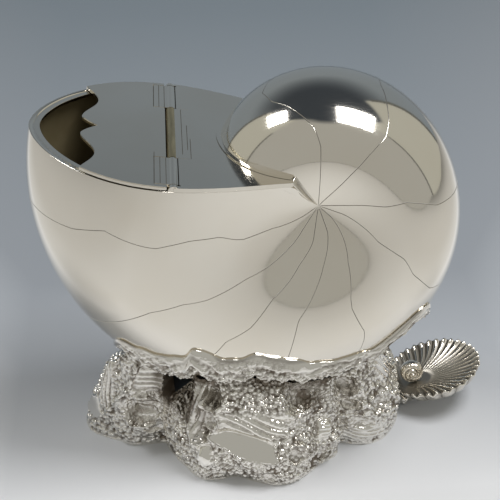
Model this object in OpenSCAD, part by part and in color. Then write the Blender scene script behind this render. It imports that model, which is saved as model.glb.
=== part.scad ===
// Silver-plated spoon warmer: a hinged nautilus shell on a cast rock base with a scallop handle.
// Millimetres, +Z up, origin under the middle of the object, on the surface it stands on.
// The mouth is at -X and the handle at +X.

/* [Shell] */
// Height of the shell's lowest point above the table
keel_z = 19.65; // [19:0.05:21]
// Distance of the spiral's centre behind the middle of the base
whorl_x = 21.5; // [18:0.1:25]
// Spiral radius where the whorl rises out of the deck
start_r = 35.2; // [33:0.1:37]
// Spiral radius at the mouth
mouth_r = 99.5; // [96:0.1:103]
// How late the spiral starts to open
spiral_onset = 3.6; // [3.3:0.05:3.9]
// How soon the spiral reaches the mouth radius
spiral_reach = 3.4; // [3.1:0.05:3.8]
// Half of the shell's width at its two poles
pole_half_w = 24; // [22:0.1:26]
// Extra swell of the flanks on the small end of the whorl
swell_start = 4; // [2:0.1:6]
// Extra swell of the flanks at the mouth
swell_mouth = 23; // [20:0.1:25]
// Share by which that swell falls off towards the front of the mouth
mouth_taper = 0.28; // [0.2:0.02:0.36]
// Sheet thickness of the shell
shell_t = 1.5; // [1.2:0.1:1.8]
// Solder line between the two halves, along the keel
seam_gap = 0.1; // [0.06:0.02:0.2]

/* [Mouth and deck] */
// Slope of the mouth plane, which falls towards the whorl
deck_tilt = 8; // [6:0.5:10]
// Square distance from the spiral's centre up to the mouth plane
deck_h = 9; // [8.5:0.05:9.5]
// Thickness of the fixed deck plate
deck_t = 1.5; // [1.3:0.1:1.8]
// Gap between the deck plate and the whorl
deck_gap = 0.4; // [0.3:0.05:0.6]
// Turn at which the lip rolls down from the deck to the pole
lip_turn = 50; // [44:1:56]
// Angle between the lip and the start of the whorl at the pole
lip_gap = 2; // [1.5:0.5:6]
// Width of the flat rim inside the mouth
rim_w = 2; // [1.6:0.1:3]
// Thickness of the flat rim
rim_t = 1.2; // [1:0.1:1.5]
// Solder gap between the rim and the shell
rim_gap = 0.2; // [0.15:0.05:0.3]

/* [Lid and hinge] */
// Place of the hinge line ahead of the middle of the base
hinge_x = 27.2; // [25:0.1:29]
// Space between the closed lid and the rim below it
lid_gap = 0.3; // [0.25:0.05:0.4]
// Lid overhang kept inside the rim's outer edge
lid_inset = 0.3; // [0.2:0.05:0.6]
// Reach of the lid's front edge from the hinge line, half way up its waves
lid_reach = 28.4; // [26:0.1:30]
// Height of the waves on the lid's front edge
lid_wave = 2.6; // [1.5:0.1:3]
// Half of the distance between the two middle lobes
lobe_half = 6; // [5:0.1:7]
// Distance along the edge from a lobe to the next hollow
wave_half = 13.6; // [12:0.1:15]
// Depth of the notch between the two middle lobes
notch_depth = 5.3; // [3:0.1:6]
// Radius of the hinge barrel
barrel_r = 1.8; // [1.6:0.05:2]
// Radius of the hinge pin
pin_r = 0.8; // [0.6:0.05:1]
// Running clearance of the pin in the barrel
pin_clear = 0.05; // [0.03:0.01:0.08]
// Height of the pin above the mouth plane
pin_z = 0.1; // [0:0.05:0.2]
// Length of the middle knuckle
knuckle_mid = 37; // [33:0.5:40]
// Distance of the lid's knuckle ends from the middle
knuckle_end = 36.8; // [35:0.1:37]
// End clearance between knuckles
knuckle_gap = 0.3; // [0.2:0.05:0.5]
// Clearance between the barrel and the plate edges
barrel_gap = 0.4; // [0.35:0.05:0.6]
// Width of the hinge leaves let into the plates
leaf_w = 4; // [3:0.1:5]

/* [Collar] */
// Half of the collar's spread up each flank, in degrees of the section
collar_flank = 50; // [48:0.5:52]
// Reach of the collar under the keel towards the mouth
collar_fore = 54; // [52:0.5:56]
// Reach of the collar under the keel towards the back
collar_aft = 62; // [60:0.5:63]
// Place on the spiral that stands lowest, in turns
keel_turn = 0.79; // [0.78:0.002:0.8]
// Thickness of the collar's wave at its fullest
collar_t = 4.6; // [3.5:0.1:5]
// Gap between the cast pieces and the shell
cast_gap = 0.35; // [0.25:0.05:0.5]

/* [Rocks] */
// Reach of the left rock from the middle of the base
left_reach = 65; // [62:0.5:67]
// Reach of the front and back rocks
front_reach = 46.5; // [45:0.5:48]
// Reach of the right rock
right_reach = 61; // [60:0.5:63]
// Height of the shoulders of the front rock
rock_h = 33; // [31:0.5:34]
// Wall of the rocks at the table
rock_wall = 6; // [5:0.1:7]
// Depth of the cast knobs
knob_depth = 0.8; // [0.5:0.1:1.2]
// Height of the middle of the polished face on the front rock
facet_z = 16; // [15:0.5:17]
// Distance of that face from the middle of the base
facet_reach = 43; // [42:0.5:44]
// Half of that face's length
facet_l = 12.5; // [11:0.5:14]
// Half of that face's height
facet_h = 4.5; // [4:0.1:5]

/* [Fixing] */
// Radius of the stud under the shell
stud_r = 2.5; // [2:0.1:3]
// Radius of the stud's soldered foot
stud_foot_r = 6; // [5:0.1:7]
// Thickness of the stud's foot
stud_foot_t = 2; // [1.5:0.1:3]
// Space for solder between the foot and the keel
stud_gap = 0.3; // [0.2:0.05:0.5]
// Height of the strap's underside
strap_z = 9; // [8:0.1:10]
// Width of the strap
strap_w = 16; // [12:0.5:20]
// Thickness of the strap
strap_t = 3; // [2:0.1:4]
// Gap between the strap's ends and the rocks
strap_gap = 0.4; // [0.3:0.05:0.6]
// Clearance round the stud in its hole
stud_clear = 0.2; // [0.1:0.05:0.4]
// Thickness of the washer
washer_t = 1; // [0.8:0.1:1.4]
// Radius of the washer
washer_r = 5.5; // [5:0.1:7]
// Thickness of the nut
nut_t = 4; // [3:0.1:5]
// Nut size across its corners
nut_corners = 9.2; // [8:0.1:10]
// Stud length below the nut
stud_tail = 1.5; // [1:0.1:2.5]

/* [Handle] */
// Distance of the scallop's middle beyond the right rock
dish_out = 13; // [12:0.1:14.5]
// Sideways place of the scallop
dish_y = 5.2; // [4:0.1:6]
// Height of the middle of the scallop's rim
dish_z = 12.2; // [11.8:0.1:13]
// Radius of the scallop's edge
dish_r = 19; // [18.5:0.1:19.5]
// Slope of the scallop, which rises towards its tip
dish_tilt = 16.5; // [15:0.5:18]
// Sideways slope of the scallop, which rises towards the near side
dish_roll = 5.5; // [4:0.5:7]
// Distance from the scallop's middle to its straight hinge side
dish_back = 15; // [14.5:0.1:15.2]
// Height of the scallop's outer wall
dish_h = 4.4; // [4.2:0.1:5]
// Depth of the scallop's hollow
dish_floor = 3; // [2.6:0.1:3.2]
// Number of lobes round the scallop's edge
flutes = 18; // [16:1:20]
// Depth of the notches between the lobes
flute_depth = 0.9; // [0.5:0.05:1.2]
// Distance from the scallop's middle back to its beak
beak_x = 8.5; // [8:0.1:9]
// Distance from the scallop's middle sideways to its beak
beak_y = 2; // [1:0.1:3]
// Radius of the scroll on the beak
volute_r = 4.7; // [4.2:0.1:5]
// Half of the scroll's length
volute_half = 3; // [2.6:0.1:3.4]
// Solder gap under the scroll and the scallop
solder_gap = 0.15; // [0.1:0.05:0.3]
// Width of the stem
stem_w = 16; // [14:0.5:17]
// Height of the stem where it leaves the rock
stem_h = 16; // [14:0.5:17]
// How far the stem's root is let into the right rock
stem_let = 3.5; // [3.4:0.1:4]

/* [Hidden] */
$fn = 48;

silver = "#d9d6cf";
worn_brass = "#9a8a63";
cast_silver = "#b7b2a8";
steel = "#8e9094";

// Divisions of the faceted pieces
shell_rows = 14;
shell_cols = 44;
rim_steps = 28;
collar_cols = 90;
rock_step = 2.8;
volute_cols = 24;

// The handle starts from the right rock.
stem_x = right_reach - stem_let;
dish_x = right_reach + dish_out;

// The object's box is centred on the origin, between the mouth and the tip of the scallop.
mouth_tip = whorl_x - mouth_r;
dish_tip = dish_x + dish_r * norm([cos(dish_tilt), sin(dish_roll) * sin(dish_tilt)]);
base_x = -(mouth_tip + dish_tip) / 2;

// Heights of the spiral's centre and of the mouth plane at the hinge line
whorl_z = keel_z - whorl_r(keel_turn) * sin(180 - 360 * keel_turn);
deck_z = whorl_z + deck_h / cos(deck_tilt) + tan(deck_tilt) * (whorl_x + hinge_x);
plate_edge = barrel_r + barrel_gap;
leaf_end = plate_edge + leaf_w;
knuckle_start = knuckle_mid / 2 + knuckle_gap;
lid_t = deck_t - lid_gap;
nut_top = strap_z - washer_t;
stud_bottom = nut_top - nut_t - stud_tail;

function unit(v) = v / norm(v);
function clamp(v, low, high) = min(high, max(low, v));
function mix(a, b, s) = a + (b - a) * s;

// The shell's skin: t is the turn, 0 at the deck and 1 at the mouth. phi runs from the keel
// at 0 to a pole at 90 degrees, and d is the height above the skin.
function whorl_r(t) =
    mouth_r - (mouth_r - start_r) * pow(1 - pow(clamp(t, 0, 1), spiral_onset), spiral_reach);
function swell(t, phi) =
    mix(swell_start, swell_mouth, pow(max(0, t), 1.2)) * (1 - mouth_taper * pow(t, 6) * pow(cos(phi), 2));
function flank_y(t, phi, d) =
    (pole_half_w + d) * sin(abs(phi)) + swell(t, phi) * pow(abs(sin(2 * phi)), 1.3);
function skin(t, phi, d = 0) =
    let (turn = 180 - 360 * t, r = (whorl_r(t) + d) * cos(phi))
    [whorl_x + r * cos(turn), sign(phi) * flank_y(t, phi, d), whorl_z + r * sin(turn)];
// Angle above the level at which a circle of radius r meets the mouth plane
function deck_angle(r, cap) = min(cap, deck_tilt + asin(min(1, deck_h / max(r, 0.01))));
function start_turn(phi, d) = deck_angle((start_r + d) * cos(phi), lip_turn) / 360;
function end_turn(phi, d) = 1 + deck_angle((mouth_r + d) * cos(phi), lip_turn - lip_gap) / 360;
// Place on the section where a lip that has turned by cap leaves the mouth plane
function corner_phi(r, cap) = acos(deck_h / sin(cap - deck_tilt) / r);

// A point of the skin in the mouth plane's own frame, from the hinge line
function on_deck(p) = [
    (p[0] + hinge_x) * cos(deck_tilt) - (p[2] - deck_z) * sin(deck_tilt),
    p[1]
];
function rim_pt(phi, d) = on_deck(skin(end_turn(phi, d), phi, d));
function whorl_pt(phi, d) = on_deck(skin(start_turn(phi, d), phi, d));

// Turn of the skin's underside above a given x, closed in on from the keel
function under_turn(x, phi, t = keel_turn, rounds = 5) = rounds == 0 ? t :
    under_turn(x, phi, (180 + acos(clamp((x - whorl_x) / whorl_r(t) / cos(phi), -1, 1))) / 360, rounds - 1);
// A ring on the underside of the shell: share 1 is near the collar's upper edge.
function cradle(turn, share, d) =
    let (
        c = cos(turn),
        x = (c < 0 ? collar_fore : collar_aft) * c * share,
        phi = collar_flank * sin(turn) * share)
    skin(under_turn(x, phi), phi, d);
// A point of such a ring in a given direction from the middle of the base, closed in on from that angle
function cradle_at(a, share, d, turn, rounds = 5) =
    let (p = cradle(turn, share, d), off = a - atan2(p[1], p[0]))
    rounds == 0 ? p : cradle_at(a, share, d, turn + off - 360 * round(off / 360), rounds - 1);

// A sheet between two grids of points. Rows may close into rings and may end in a point.
module sheet(outer, inner, closed = false, tips = []) {
    rows = len(outer);
    cols = len(outer[0]);
    count = rows * cols;
    spans = closed ? cols : cols - 1;
    function at(i, j) = i * cols + j % cols;
    skins = [for (i = [0:rows - 2], j = [0:spans - 1])
        let (a = at(i, j), b = at(i, j + 1), c = at(i + 1, j + 1), e = at(i + 1, j))
        each [[a, b, c], [a, c, e], [count + c, count + b, count + a], [count + e, count + c, count + a]]];
    first = [for (j = [0:spans - 1]) let (a = at(0, j), b = at(0, j + 1))
        each [[b, a, count + a], [b, count + a, count + b]]];
    last = [for (j = [0:spans - 1]) let (a = at(rows - 1, j), b = at(rows - 1, j + 1))
        each len(tips) == 0
            ? [[a, b, count + b], [a, count + b, count + a]]
            : [[a, b, 2 * count], [count + b, count + a, 2 * count + 1]]];
    sides = closed ? [] : [for (i = [0:rows - 2])
        let (a = at(i, 0), e = at(i + 1, 0), b = at(i, cols - 1), c = at(i + 1, cols - 1))
        each [[a, e, count + e], [a, count + e, count + a], [c, b, count + b], [c, count + b, count + c]]];
    ends = closed || len(tips) == 0 ? [] :
        let (a = at(rows - 1, 0), b = at(rows - 1, cols - 1))
        [[a, 2 * count, 2 * count + 1], [a, 2 * count + 1, count + a],
         [2 * count, b, count + b], [2 * count, count + b, 2 * count + 1]];
    polyhedron(
        concat([for (row = outer) each row], [for (row = inner) each row], tips),
        concat(skins, first, last, sides, ends));
}

module place() { translate([base_x, 0, 0]) children(); }
module at_dish() {
    place() translate([dish_x, dish_y, dish_z]) rotate([-dish_roll, -dish_tilt, 0]) children();
}
module at_deck() { place() translate([-hinge_x, 0, deck_z]) rotate([0, deck_tilt, 0]) children(); }

function shell_grid(d) = [for (i = [0:shell_rows - 1])
    let (phi = 90 * i / shell_rows, t0 = start_turn(phi, d), t1 = end_turn(phi, d))
    [for (j = [0:shell_cols])
        let (p = skin(mix(t1, t0, j / shell_cols), phi, d))
        [p[0], p[1] + seam_gap / 2, p[2]]]];
function pole(d) = [whorl_x, pole_half_w + d + seam_gap / 2, whorl_z];

module shell_half() {
    sheet(shell_grid(0), shell_grid(-shell_t), tips = [pole(0), pole(-shell_t)]);
}

module shell_far_half() { color(silver) place() shell_half(); }
module shell_near_half() { color(silver) place() mirror([0, 1, 0]) shell_half(); }

// Flat rim soldered inside the mouth, which carries the closed lid
module rim_flange() {
    phi_end = 80;
    function edge(d) = [for (i = [-rim_steps:rim_steps]) rim_pt(phi_end * i / rim_steps, d)];
    outer = edge(-shell_t - rim_gap);
    inner = edge(-shell_t - rim_gap - rim_w);
    back = [for (i = [len(inner) - 1:-1:0]) inner[i]];
    stop = -leaf_end;
    color(silver) at_deck() translate([0, 0, -rim_t]) linear_extrude(rim_t)
        intersection() {
            polygon(concat(outer, back));
            translate([stop - mouth_r, -mouth_r / 2]) square([mouth_r, mouth_r]);
        }
}

// The mouth's outline in the mouth plane, from the whorl round the front and back
module mouth_outline(inset) {
    phi_end = corner_phi(mouth_r - inset, lip_turn - lip_gap);
    polygon([for (i = [-rim_steps:rim_steps]) rim_pt(phi_end * i / rim_steps, -inset)]);
}

module whorl_outline(gap) {
    phi_end = corner_phi(start_r + gap, lip_turn);
    front = [for (i = [-rim_steps:rim_steps]) whorl_pt(phi_end * i / rim_steps, gap)];
    polygon(concat(front, [[mouth_r, front[len(front) - 1][1]], [mouth_r, front[0][1]]]));
}

module leaf_space(side, y0, y1) {
    x = side > 0 ? 0 : -leaf_end;
    translate([x, y0]) square([leaf_end, y1 - y0]);
}

// Deck plate, with an end of the barrel at each side that closes the hinge line at the rim
module deck_plate() {
    end_y = knuckle_end + knuckle_gap;
    web_y = end_y + knuckle_gap;
    color(silver) at_deck() {
        linear_extrude(deck_t) difference() {
            intersection() {
                mouth_outline(0);
                union() {
                    translate([plate_edge, -mouth_r]) square([mouth_r, 2 * mouth_r]);
                    for (side = [-1, 1]) translate([0, side > 0 ? web_y : -mouth_r]) square(mouth_r - web_y);
                }
            }
            whorl_outline(deck_gap);
            leaf_space(1, -knuckle_mid / 2, knuckle_mid / 2);
        }
        intersection() {
            for (side = [-1, 1]) translate([0, side > 0 ? end_y : -mouth_r, pin_z]) rotate([-90, 0, 0])
                cylinder(r = barrel_r, h = mouth_r - end_y);
            translate([0, 0, pin_z / 2]) linear_extrude(2 * barrel_r) mouth_outline(lid_inset);
        }
    }
}

// A knuckle on the hinge line with its leaf, which lies flush in a plate
module knuckle(y0, y1, side, leaf_low, leaf_high) {
    bore = pin_r + pin_clear;
    difference() {
        union() {
            translate([0, y0, pin_z]) rotate([-90, 0, 0]) cylinder(r = barrel_r, h = y1 - y0);
            translate([side > 0 ? 0 : -leaf_end, y0, leaf_low])
                cube([leaf_end, y1 - y0, leaf_high - leaf_low]);
        }
        translate([0, y0 - 1, pin_z]) rotate([-90, 0, 0]) cylinder(r = bore, h = y1 - y0 + 2);
    }
}

module deck_hinge_leaf() {
    color(worn_brass) at_deck() knuckle(-knuckle_mid / 2, knuckle_mid / 2, 1, 0, deck_t);
}

module lid_hinge_leaves() {
    color(silver) at_deck() for (y0 = [-knuckle_end, knuckle_start])
        knuckle(y0, y0 + knuckle_end - knuckle_start, -1, lid_gap, deck_t);
}

// Front edge of the lid: waves with a sharp notch between the two middle lobes
function lid_edge(y) =
    let (a = abs(y))
    a < lobe_half
        ? -lid_reach - lid_wave + notch_depth * pow(1 - a / lobe_half, 1.5)
        : -lid_reach - lid_wave * cos(180 * (a - lobe_half) / wave_half);

module lid_flap() {
    half = mouth_r / 2;
    steps = 60;
    color(silver) at_deck() translate([0, 0, lid_gap]) linear_extrude(lid_t) difference() {
        intersection() {
            mouth_outline(lid_inset);
            polygon(concat(
                [for (i = [-steps:steps]) let (y = half * i / steps) [lid_edge(y), y]],
                [[-plate_edge, half], [-plate_edge, -half]]));
        }
        for (y0 = [-knuckle_end, knuckle_start])
            leaf_space(-1, y0, y0 + knuckle_end - knuckle_start);
    }
}

module hinge_pin() {
    color(steel) at_deck() translate([0, -knuckle_end, pin_z]) rotate([-90, 0, 0])
        cylinder(r = pin_r, h = 2 * knuckle_end);
}

// Values between hand-set sections: column k at the place a
function between(sections, a, k) = lookup(a, [for (row = sections) [row[0], row[k]]]);

// Wave cast round the underside of the shell, alike on both sides of the keel.
// Sections: degrees from the back, upper edge and width as shares of the ring, share of the thickness
wave_sections = [
    [0, 1.08, 0.04, 0.35], [30, 1.16, 0.04, 0.38], [44, 1.12, 0.05, 0.45], [55, 1.035, 0.08, 0.65],
    [67, 1, 0.1, 0.78], [78, 1.02, 0.13, 0.9], [90, 1.045, 0.13, 0.88], [103, 0.99, 0.13, 0.95],
    [110, 1.035, 0.13, 1], [121, 0.975, 0.11, 0.86], [136, 1, 0.1, 0.7], [148, 1.06, 0.05, 0.35],
    [162, 0.99, 0.05, 0.35], [180, 0.92, 0.06, 0.35]
];
module wave_collar() {
    // Share of the width from the lower edge up, and share of the thickness there
    profile = [[0, 0.7], [0.35, 1], [0.7, 0.8], [1, 0.15]];
    function ring(row, raised) = [for (j = [0:collar_cols - 1])
        let (
            a = -360 * j / collar_cols,
            fold = 180 - abs(a + 180),
            share = between(wave_sections, fold, 1) - between(wave_sections, fold, 2) * (1 - row[0]),
            lift = raised ? collar_t * between(wave_sections, fold, 3) * row[1] : 0)
        cradle(a, share, cast_gap + lift)];
    color(cast_silver) place()
        sheet([for (row = profile) ring(row, true)], [for (row = profile) ring(row, false)], closed = true);
}

// A rock: a cast wall from the table up to the underside of the shell.
// Sections: degrees from its middle, reach at the table, reach and height of the belly, reach and height
// of the shoulder, and the ring on the shell where it ends. Reaches and heights are shares.
left_sections = [
    [-33, 0.58, 0.6, 0.3, 0.57, 0.6, 0.8], [-24, 0.7, 0.72, 0.3, 0.69, 0.6, 0.8],
    [-17, 0.82, 0.81, 0.28, 0.75, 0.6, 0.82], [-10, 0.93, 0.9, 0.26, 0.82, 0.58, 0.83],
    [0, 1, 0.94, 0.3, 0.84, 0.76, 0.84], [10, 0.97, 0.93, 0.42, 0.845, 0.97, 0.87],
    [18, 0.84, 0.855, 0.42, 0.815, 1.2, 0.9], [24, 0.755, 0.79, 0.4, 0.775, 1.33, 0.92],
    [27, 0.66, 0.71, 0.42, 0.73, 1.3, 0.92], [29, 0.61, 0.645, 0.42, 0.675, 1.22, 0.88],
    [33, 0.61, 0.63, 0.4, 0.62, 1.1, 0.84]
];
front_sections = [
    [-55, 0.855, 0.86, 0.36, 0.82, 0.74, 0.52], [-49, 0.87, 0.87, 0.36, 0.82, 0.71, 0.5],
    [-41, 0.9, 0.9, 0.34, 0.83, 0.62, 0.52], [-37, 0.915, 0.915, 0.34, 0.83, 0.91, 0.74],
    [-31, 0.955, 0.945, 0.33, 0.85, 0.94, 0.77], [-25, 0.975, 1, 0.27, 0.87, 0.97, 0.79],
    [-18, 0.935, 0.98, 0.27, 0.87, 1, 0.83], [-10, 0.88, 0.98, 0.29, 0.87, 1, 0.83],
    [0, 0.925, 0.995, 0.3, 0.87, 0.99, 0.84], [8, 0.98, 1.015, 0.32, 0.875, 0.98, 0.84],
    [17, 1, 1.03, 0.33, 0.87, 0.93, 0.82], [24, 0.97, 1.01, 0.33, 0.84, 0.86, 0.77],
    [36, 0.925, 0.95, 0.33, 0.84, 0.88, 0.76], [48, 0.93, 0.945, 0.33, 0.86, 0.94, 0.77],
    [55, 0.86, 0.88, 0.33, 0.83, 0.94, 0.77]
];
right_half = [
    [0, 1, 1, 0.33, 0.935, 0.6, 0.74], [10, 0.965, 0.98, 0.33, 0.87, 0.82, 0.78],
    [19, 0.93, 0.94, 0.33, 0.785, 1.07, 0.82], [26, 0.885, 0.89, 0.33, 0.76, 1.045, 0.82],
    [32, 0.79, 0.795, 0.33, 0.705, 1, 0.8], [36, 0.655, 0.67, 0.33, 0.63, 0.94, 0.78]
];
right_sections = concat(
    [for (i = [len(right_half) - 1:-1:1]) let (row = right_half[i]) [-row[0], for (k = [1:6]) row[k]]],
    right_half);
// Middle, half angle, reach and sections of each rock
left_rock = [180, 33.2, left_reach, left_sections];
front_rock = [268.4, 54.8, front_reach, front_sections];
right_rock = [360, 36, right_reach, right_sections];

// Hollows in the rocks: place, half width, half height and depth
hollows = [
    [-42, -24, 21, 6, 4, 3.6], [-37.5, -21, 12, 4, 3, 1], [-14.5, -33, 35, 3.2, 4.4, 5],
    [-17, -34, 24, 4.5, 6, 2.4], [13.6, -45, 13, 2.6, 3, 2.2], [24.5, -37, 6, 2.6, 3, 2.6],
    [20, -38, 24, 6, 5, 1.6], [-19, -42, 10, 4, 3, 1], [3, -47, 4, 3, 2.4, 1],
    [33.5, -28, 31.5, 4, 4, 2.4], [38, -28, 20.5, 3.6, 2.6, 2], [44, -25, 12, 5, 4, 1.2]
];
// Ridges on the rocks: both ends and the height
ridges = [
    [[-44, -23, 38], [-54, -17, 17], 1.8], [[-46, -24, 14], [-34, -23, 24], 0.9],
    [[3, -40, 29], [18, -43, 12], 1.3], [[-15, -37, 33], [-14, -41, 22], 0.8],
    [[-25, -36, 14], [-14, -40, 21], 0.9], [[-11, -38, 38], [9, -38, 38], 0.7],
    [[52, -17, 20], [44, -25, 28], 1], [[57, -13, 13], [50, -20, 20], 0.8]
];
// Places that chased streaks leave without knobs: place, half width and half height
streaked = [
    [-55, -13, 28, 9, 15], [-38.5, -23, 34, 7, 6], [-1, -41, 25.5, 14, 5], [-21.5, -34, 28, 3.2, 12],
    [20, -40, 18, 6, 6], [46, -27, 6, 11, 4.5], [50, -11, 29, 8, 8], [50, 11, 29, 8, 8]
];
feature_reach = 12;
ridge_w = 1.6;
bank_at = 1.4;
bank_w = 0.3;
bank_share = 0.3;
streak_plain = 0.7;
function total(list, i = 0) = i < len(list) ? list[i] + total(list, i + 1) : 0;
// A point seen from a feature: across it, up it and out of the rock
function seen_from(h, p) =
    let (out = unit([h[0], h[1], 0]), away = p - [h[0], h[1], h[2]])
    [away * [-out[1], out[0], 0], away[2], away * out];
// Each hollow has a low bank round it.
function hollow_lift(p) = total([for (h = hollows)
    let (
        q = seen_from(h, p),
        size = sqrt(pow(q[0] / h[3], 2) + pow(q[1] / h[4], 2) + pow(q[2] / feature_reach, 4)))
    bank_share * min(h[5], 3) * exp(-pow((size - bank_at) / bank_w, 2)) - h[5] * exp(-pow(size, 4))]);
function ridge_lift(p) = total([for (r = ridges)
    let (line = r[1] - r[0], s = clamp((p - r[0]) * line / (line * line), 0, 1))
    r[2] * exp(-pow(norm(p - r[0] - line * s) / ridge_w, 2))]);
function plain(p) = min(1, total([for (h = streaked)
    let (q = seen_from(h, p))
    exp(-pow(q[0] / h[3], 6) - pow(q[1] / h[4], 6) - pow(q[2] / feature_reach, 4))]));
function knobs(p) = (1 - streak_plain * plain(p)) * knob_depth * (
    sin(18 * p[0] + 13 * p[2]) * sin(15 * p[2] - 14 * p[1])
    + 0.6 * sin(30 * p[0] - 25 * p[1] + 20 * p[2]));
function relief(p) = knobs(p) + ridge_lift(p) + hollow_lift(p);

// Flat polished face on the front rock, a long oval that falls a little towards the handle
facet_n = unit([-0.12, -1, 0.78]);
facet_mid = [-3, -facet_reach, facet_z];
facet_fall = 18;
facet_flat = unit(cross([0, 0, 1], facet_n));
facet_long = facet_flat * cos(facet_fall) - cross(facet_n, facet_flat) * sin(facet_fall);
facet_edge = 0.3;
facet_near = 8;
function facet(p) =
    let (
        away = p - facet_mid,
        off = away * facet_n,
        size = norm([away * facet_long / facet_l, away * cross(facet_n, facet_long) / facet_h]),
        share = abs(off) < facet_near ? clamp((1 + facet_edge - size) / facet_edge, 0, 1) : 0)
    p - facet_n * off * share;

// s runs from the table to the top, and the belly and the shoulder have their places on it.
belly_s = 0.3;
shoulder_s = 0.76;
rock_rows = [0, 0.1, 0.2, belly_s, 0.4, 0.5, 0.59, 0.68, shoulder_s, 0.88, 1];
head_lift = 0.4;
// Below the head, shoulders and hollows stay outside lines of these slopes, so they clear the shell.
shoulder_lean = 1.05;
pocket_lean = 1.5;
// How much lower on the shell the inner wall ends, and how quickly knobs and hollows fade at both ends
inner_drop = 0.14;
foot_fade = 7;
head_fade = 6;
function rock_out(rock, u, s) =
    let (
        a = rock[1] * u,
        turn = rock[0] + a,
        out = [cos(turn), sin(turn), 0],
        v = [for (k = [1:6]) between(rock[3], a, k)],
        foot = out * rock[2] * v[0],
        belly = out * rock[2] * v[1] + [0, 0, rock_h * v[2]],
        head = cradle_at(turn, v[5], cast_gap + head_lift, turn),
        shoulder_z = rock_h * v[4],
        clear = norm([head[0], head[1]]) - shoulder_lean * (head[2] - shoulder_z),
        shoulder = out * max(rock[2] * v[3], clear) + [0, 0, shoulder_z],
        p = s < belly_s ? mix(foot, belly, s / belly_s)
            : s < shoulder_s ? mix(belly, shoulder, (s - belly_s) / (shoulder_s - belly_s))
            : mix(shoulder, head, (s - shoulder_s) / (1 - shoulder_s)),
        fade = clamp(foot_fade * s, 0, 1) * clamp(head_fade * (1 - s), 0, 1),
        q = facet(p + out * relief(p) * fade),
        least = norm([head[0], head[1]]) - pocket_lean * (head[2] - q[2]),
        grow = max(1, least / norm([q[0], q[1]])))
    [min(q[0] * grow, stem_x), q[1] * grow, max(q[2], 0)];
// The inner wall of a rock runs straight from the table to the shell.
function rock_in(rock, u, s) =
    let (
        a = rock[1] * u,
        turn = rock[0] + a,
        reach = min(rock[2] * between(rock[3], a, 1), stem_x / max(0.3, cos(turn))),
        foot = [cos(turn), sin(turn), 0] * (reach - rock_wall),
        head = cradle_at(turn, between(rock[3], a, 6) - inner_drop, cast_gap + head_lift / 2, turn))
    mix(foot, head, s);

module rock(shape) {
    cols = 2 * ceil(shape[1] / rock_step);
    us = [for (j = [cols:-1:0]) 2 * j / cols - 1];
    sheet(
        [for (s = rock_rows) [for (u = us) rock_out(shape, u, s)]],
        [for (s = rock_rows) [for (u = us) rock_in(shape, u, s)]]);
}

module rock_left() { color(cast_silver) place() rock(left_rock); }
module rock_front() { color(cast_silver) place() rock(front_rock); }
module rock_right() { color(cast_silver) place() rock(right_rock); }
module rock_back() { color(cast_silver) place() mirror([0, 1, 0]) rock(front_rock); }

// Strap under the shell that the stud pulls against
module base_strap() {
    // Nearest point of a rock's inner wall along the strap, at the strap's upper face
    function end_at(rock) = min([for (u = [-0.9:0.05:0.9])
        let (
            low = rock_in(rock, u, 0),
            high = rock_in(rock, u, 1),
            p = mix(low, high, (strap_z + strap_t) / high[2]))
        if (abs(p[1]) < strap_w) abs(p[0])]) - strap_gap;
    fore = end_at(left_rock);
    aft = end_at(right_rock);
    color(steel) place() difference() {
        translate([-fore, -strap_w / 2, strap_z]) cube([fore + aft, strap_w, strap_t]);
        translate([0, 0, strap_z - 1]) cylinder(r = stud_r + stud_clear, h = strap_t + 2);
    }
}

module shell_stud() {
    foot_z = keel_z - stud_gap - stud_foot_t;
    color(steel) place() {
        translate([0, 0, foot_z]) cylinder(r = stud_foot_r, h = stud_foot_t);
        translate([0, 0, stud_bottom]) cylinder(r = stud_r, h = foot_z - stud_bottom);
    }
}

module stud_washer() {
    color(steel) place() translate([0, 0, nut_top]) difference() {
        cylinder(r = washer_r, h = washer_t);
        translate([0, 0, -1]) cylinder(r = stud_r + stud_clear, h = washer_t + 2);
    }
}

module stud_nut() {
    color(steel) place() translate([0, 0, nut_top - nut_t]) difference() {
        cylinder(d = nut_corners, h = nut_t, $fn = 6);
        translate([0, 0, -1]) cylinder(r = stud_r + pin_clear, h = nut_t + 2);
    }
}

// Cast stem that carries the scallop: it rises beside the hinge side and runs on under the dish.
module handle_stem() {
    under = -dish_h - solder_gap;
    deep = under - 4.5;
    rise = stem_h - dish_z + tan(dish_tilt) * (dish_x - stem_x);
    // Place along the dish, share of the width, underside and upper side of each section
    stations = [
        [-dish_back - 6, 1, deep, rise],
        [-dish_back - 0.4, 0.92, deep, rise - 3],
        [-dish_back - 0.2, 0.88, deep, under],
        [-dish_back + 6, 0.7, deep + 1, under],
        [-dish_back + 12, 0.44, deep + 2.8, under]
    ];
    sides = 16;
    points = [for (st = stations, j = [0:sides - 1])
        let (a = -360 * j / sides, mid = (st[2] + st[3]) / 2)
        [st[0], stem_w / 2 * st[1] * cos(a) - beak_y, mid + (st[3] - mid) * sin(a)]];
    last = len(points) - sides;
    walls = [for (i = [0:len(stations) - 2], j = [0:sides - 1])
        let (a = i * sides + j, b = i * sides + (j + 1) % sides, c = b + sides, e = a + sides)
        each [[a, b, c], [a, c, e]]];
    color(cast_silver) intersection() {
        at_dish() polyhedron(points, concat(
            walls, [[for (j = [sides - 1:-1:0]) j]], [[for (j = [0:sides - 1]) last + j]]));
        place() translate([stem_x + solder_gap, -stem_w, 1]) cube([dish_r, 3 * stem_w, 2 * stem_h]);
    }
}

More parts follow.
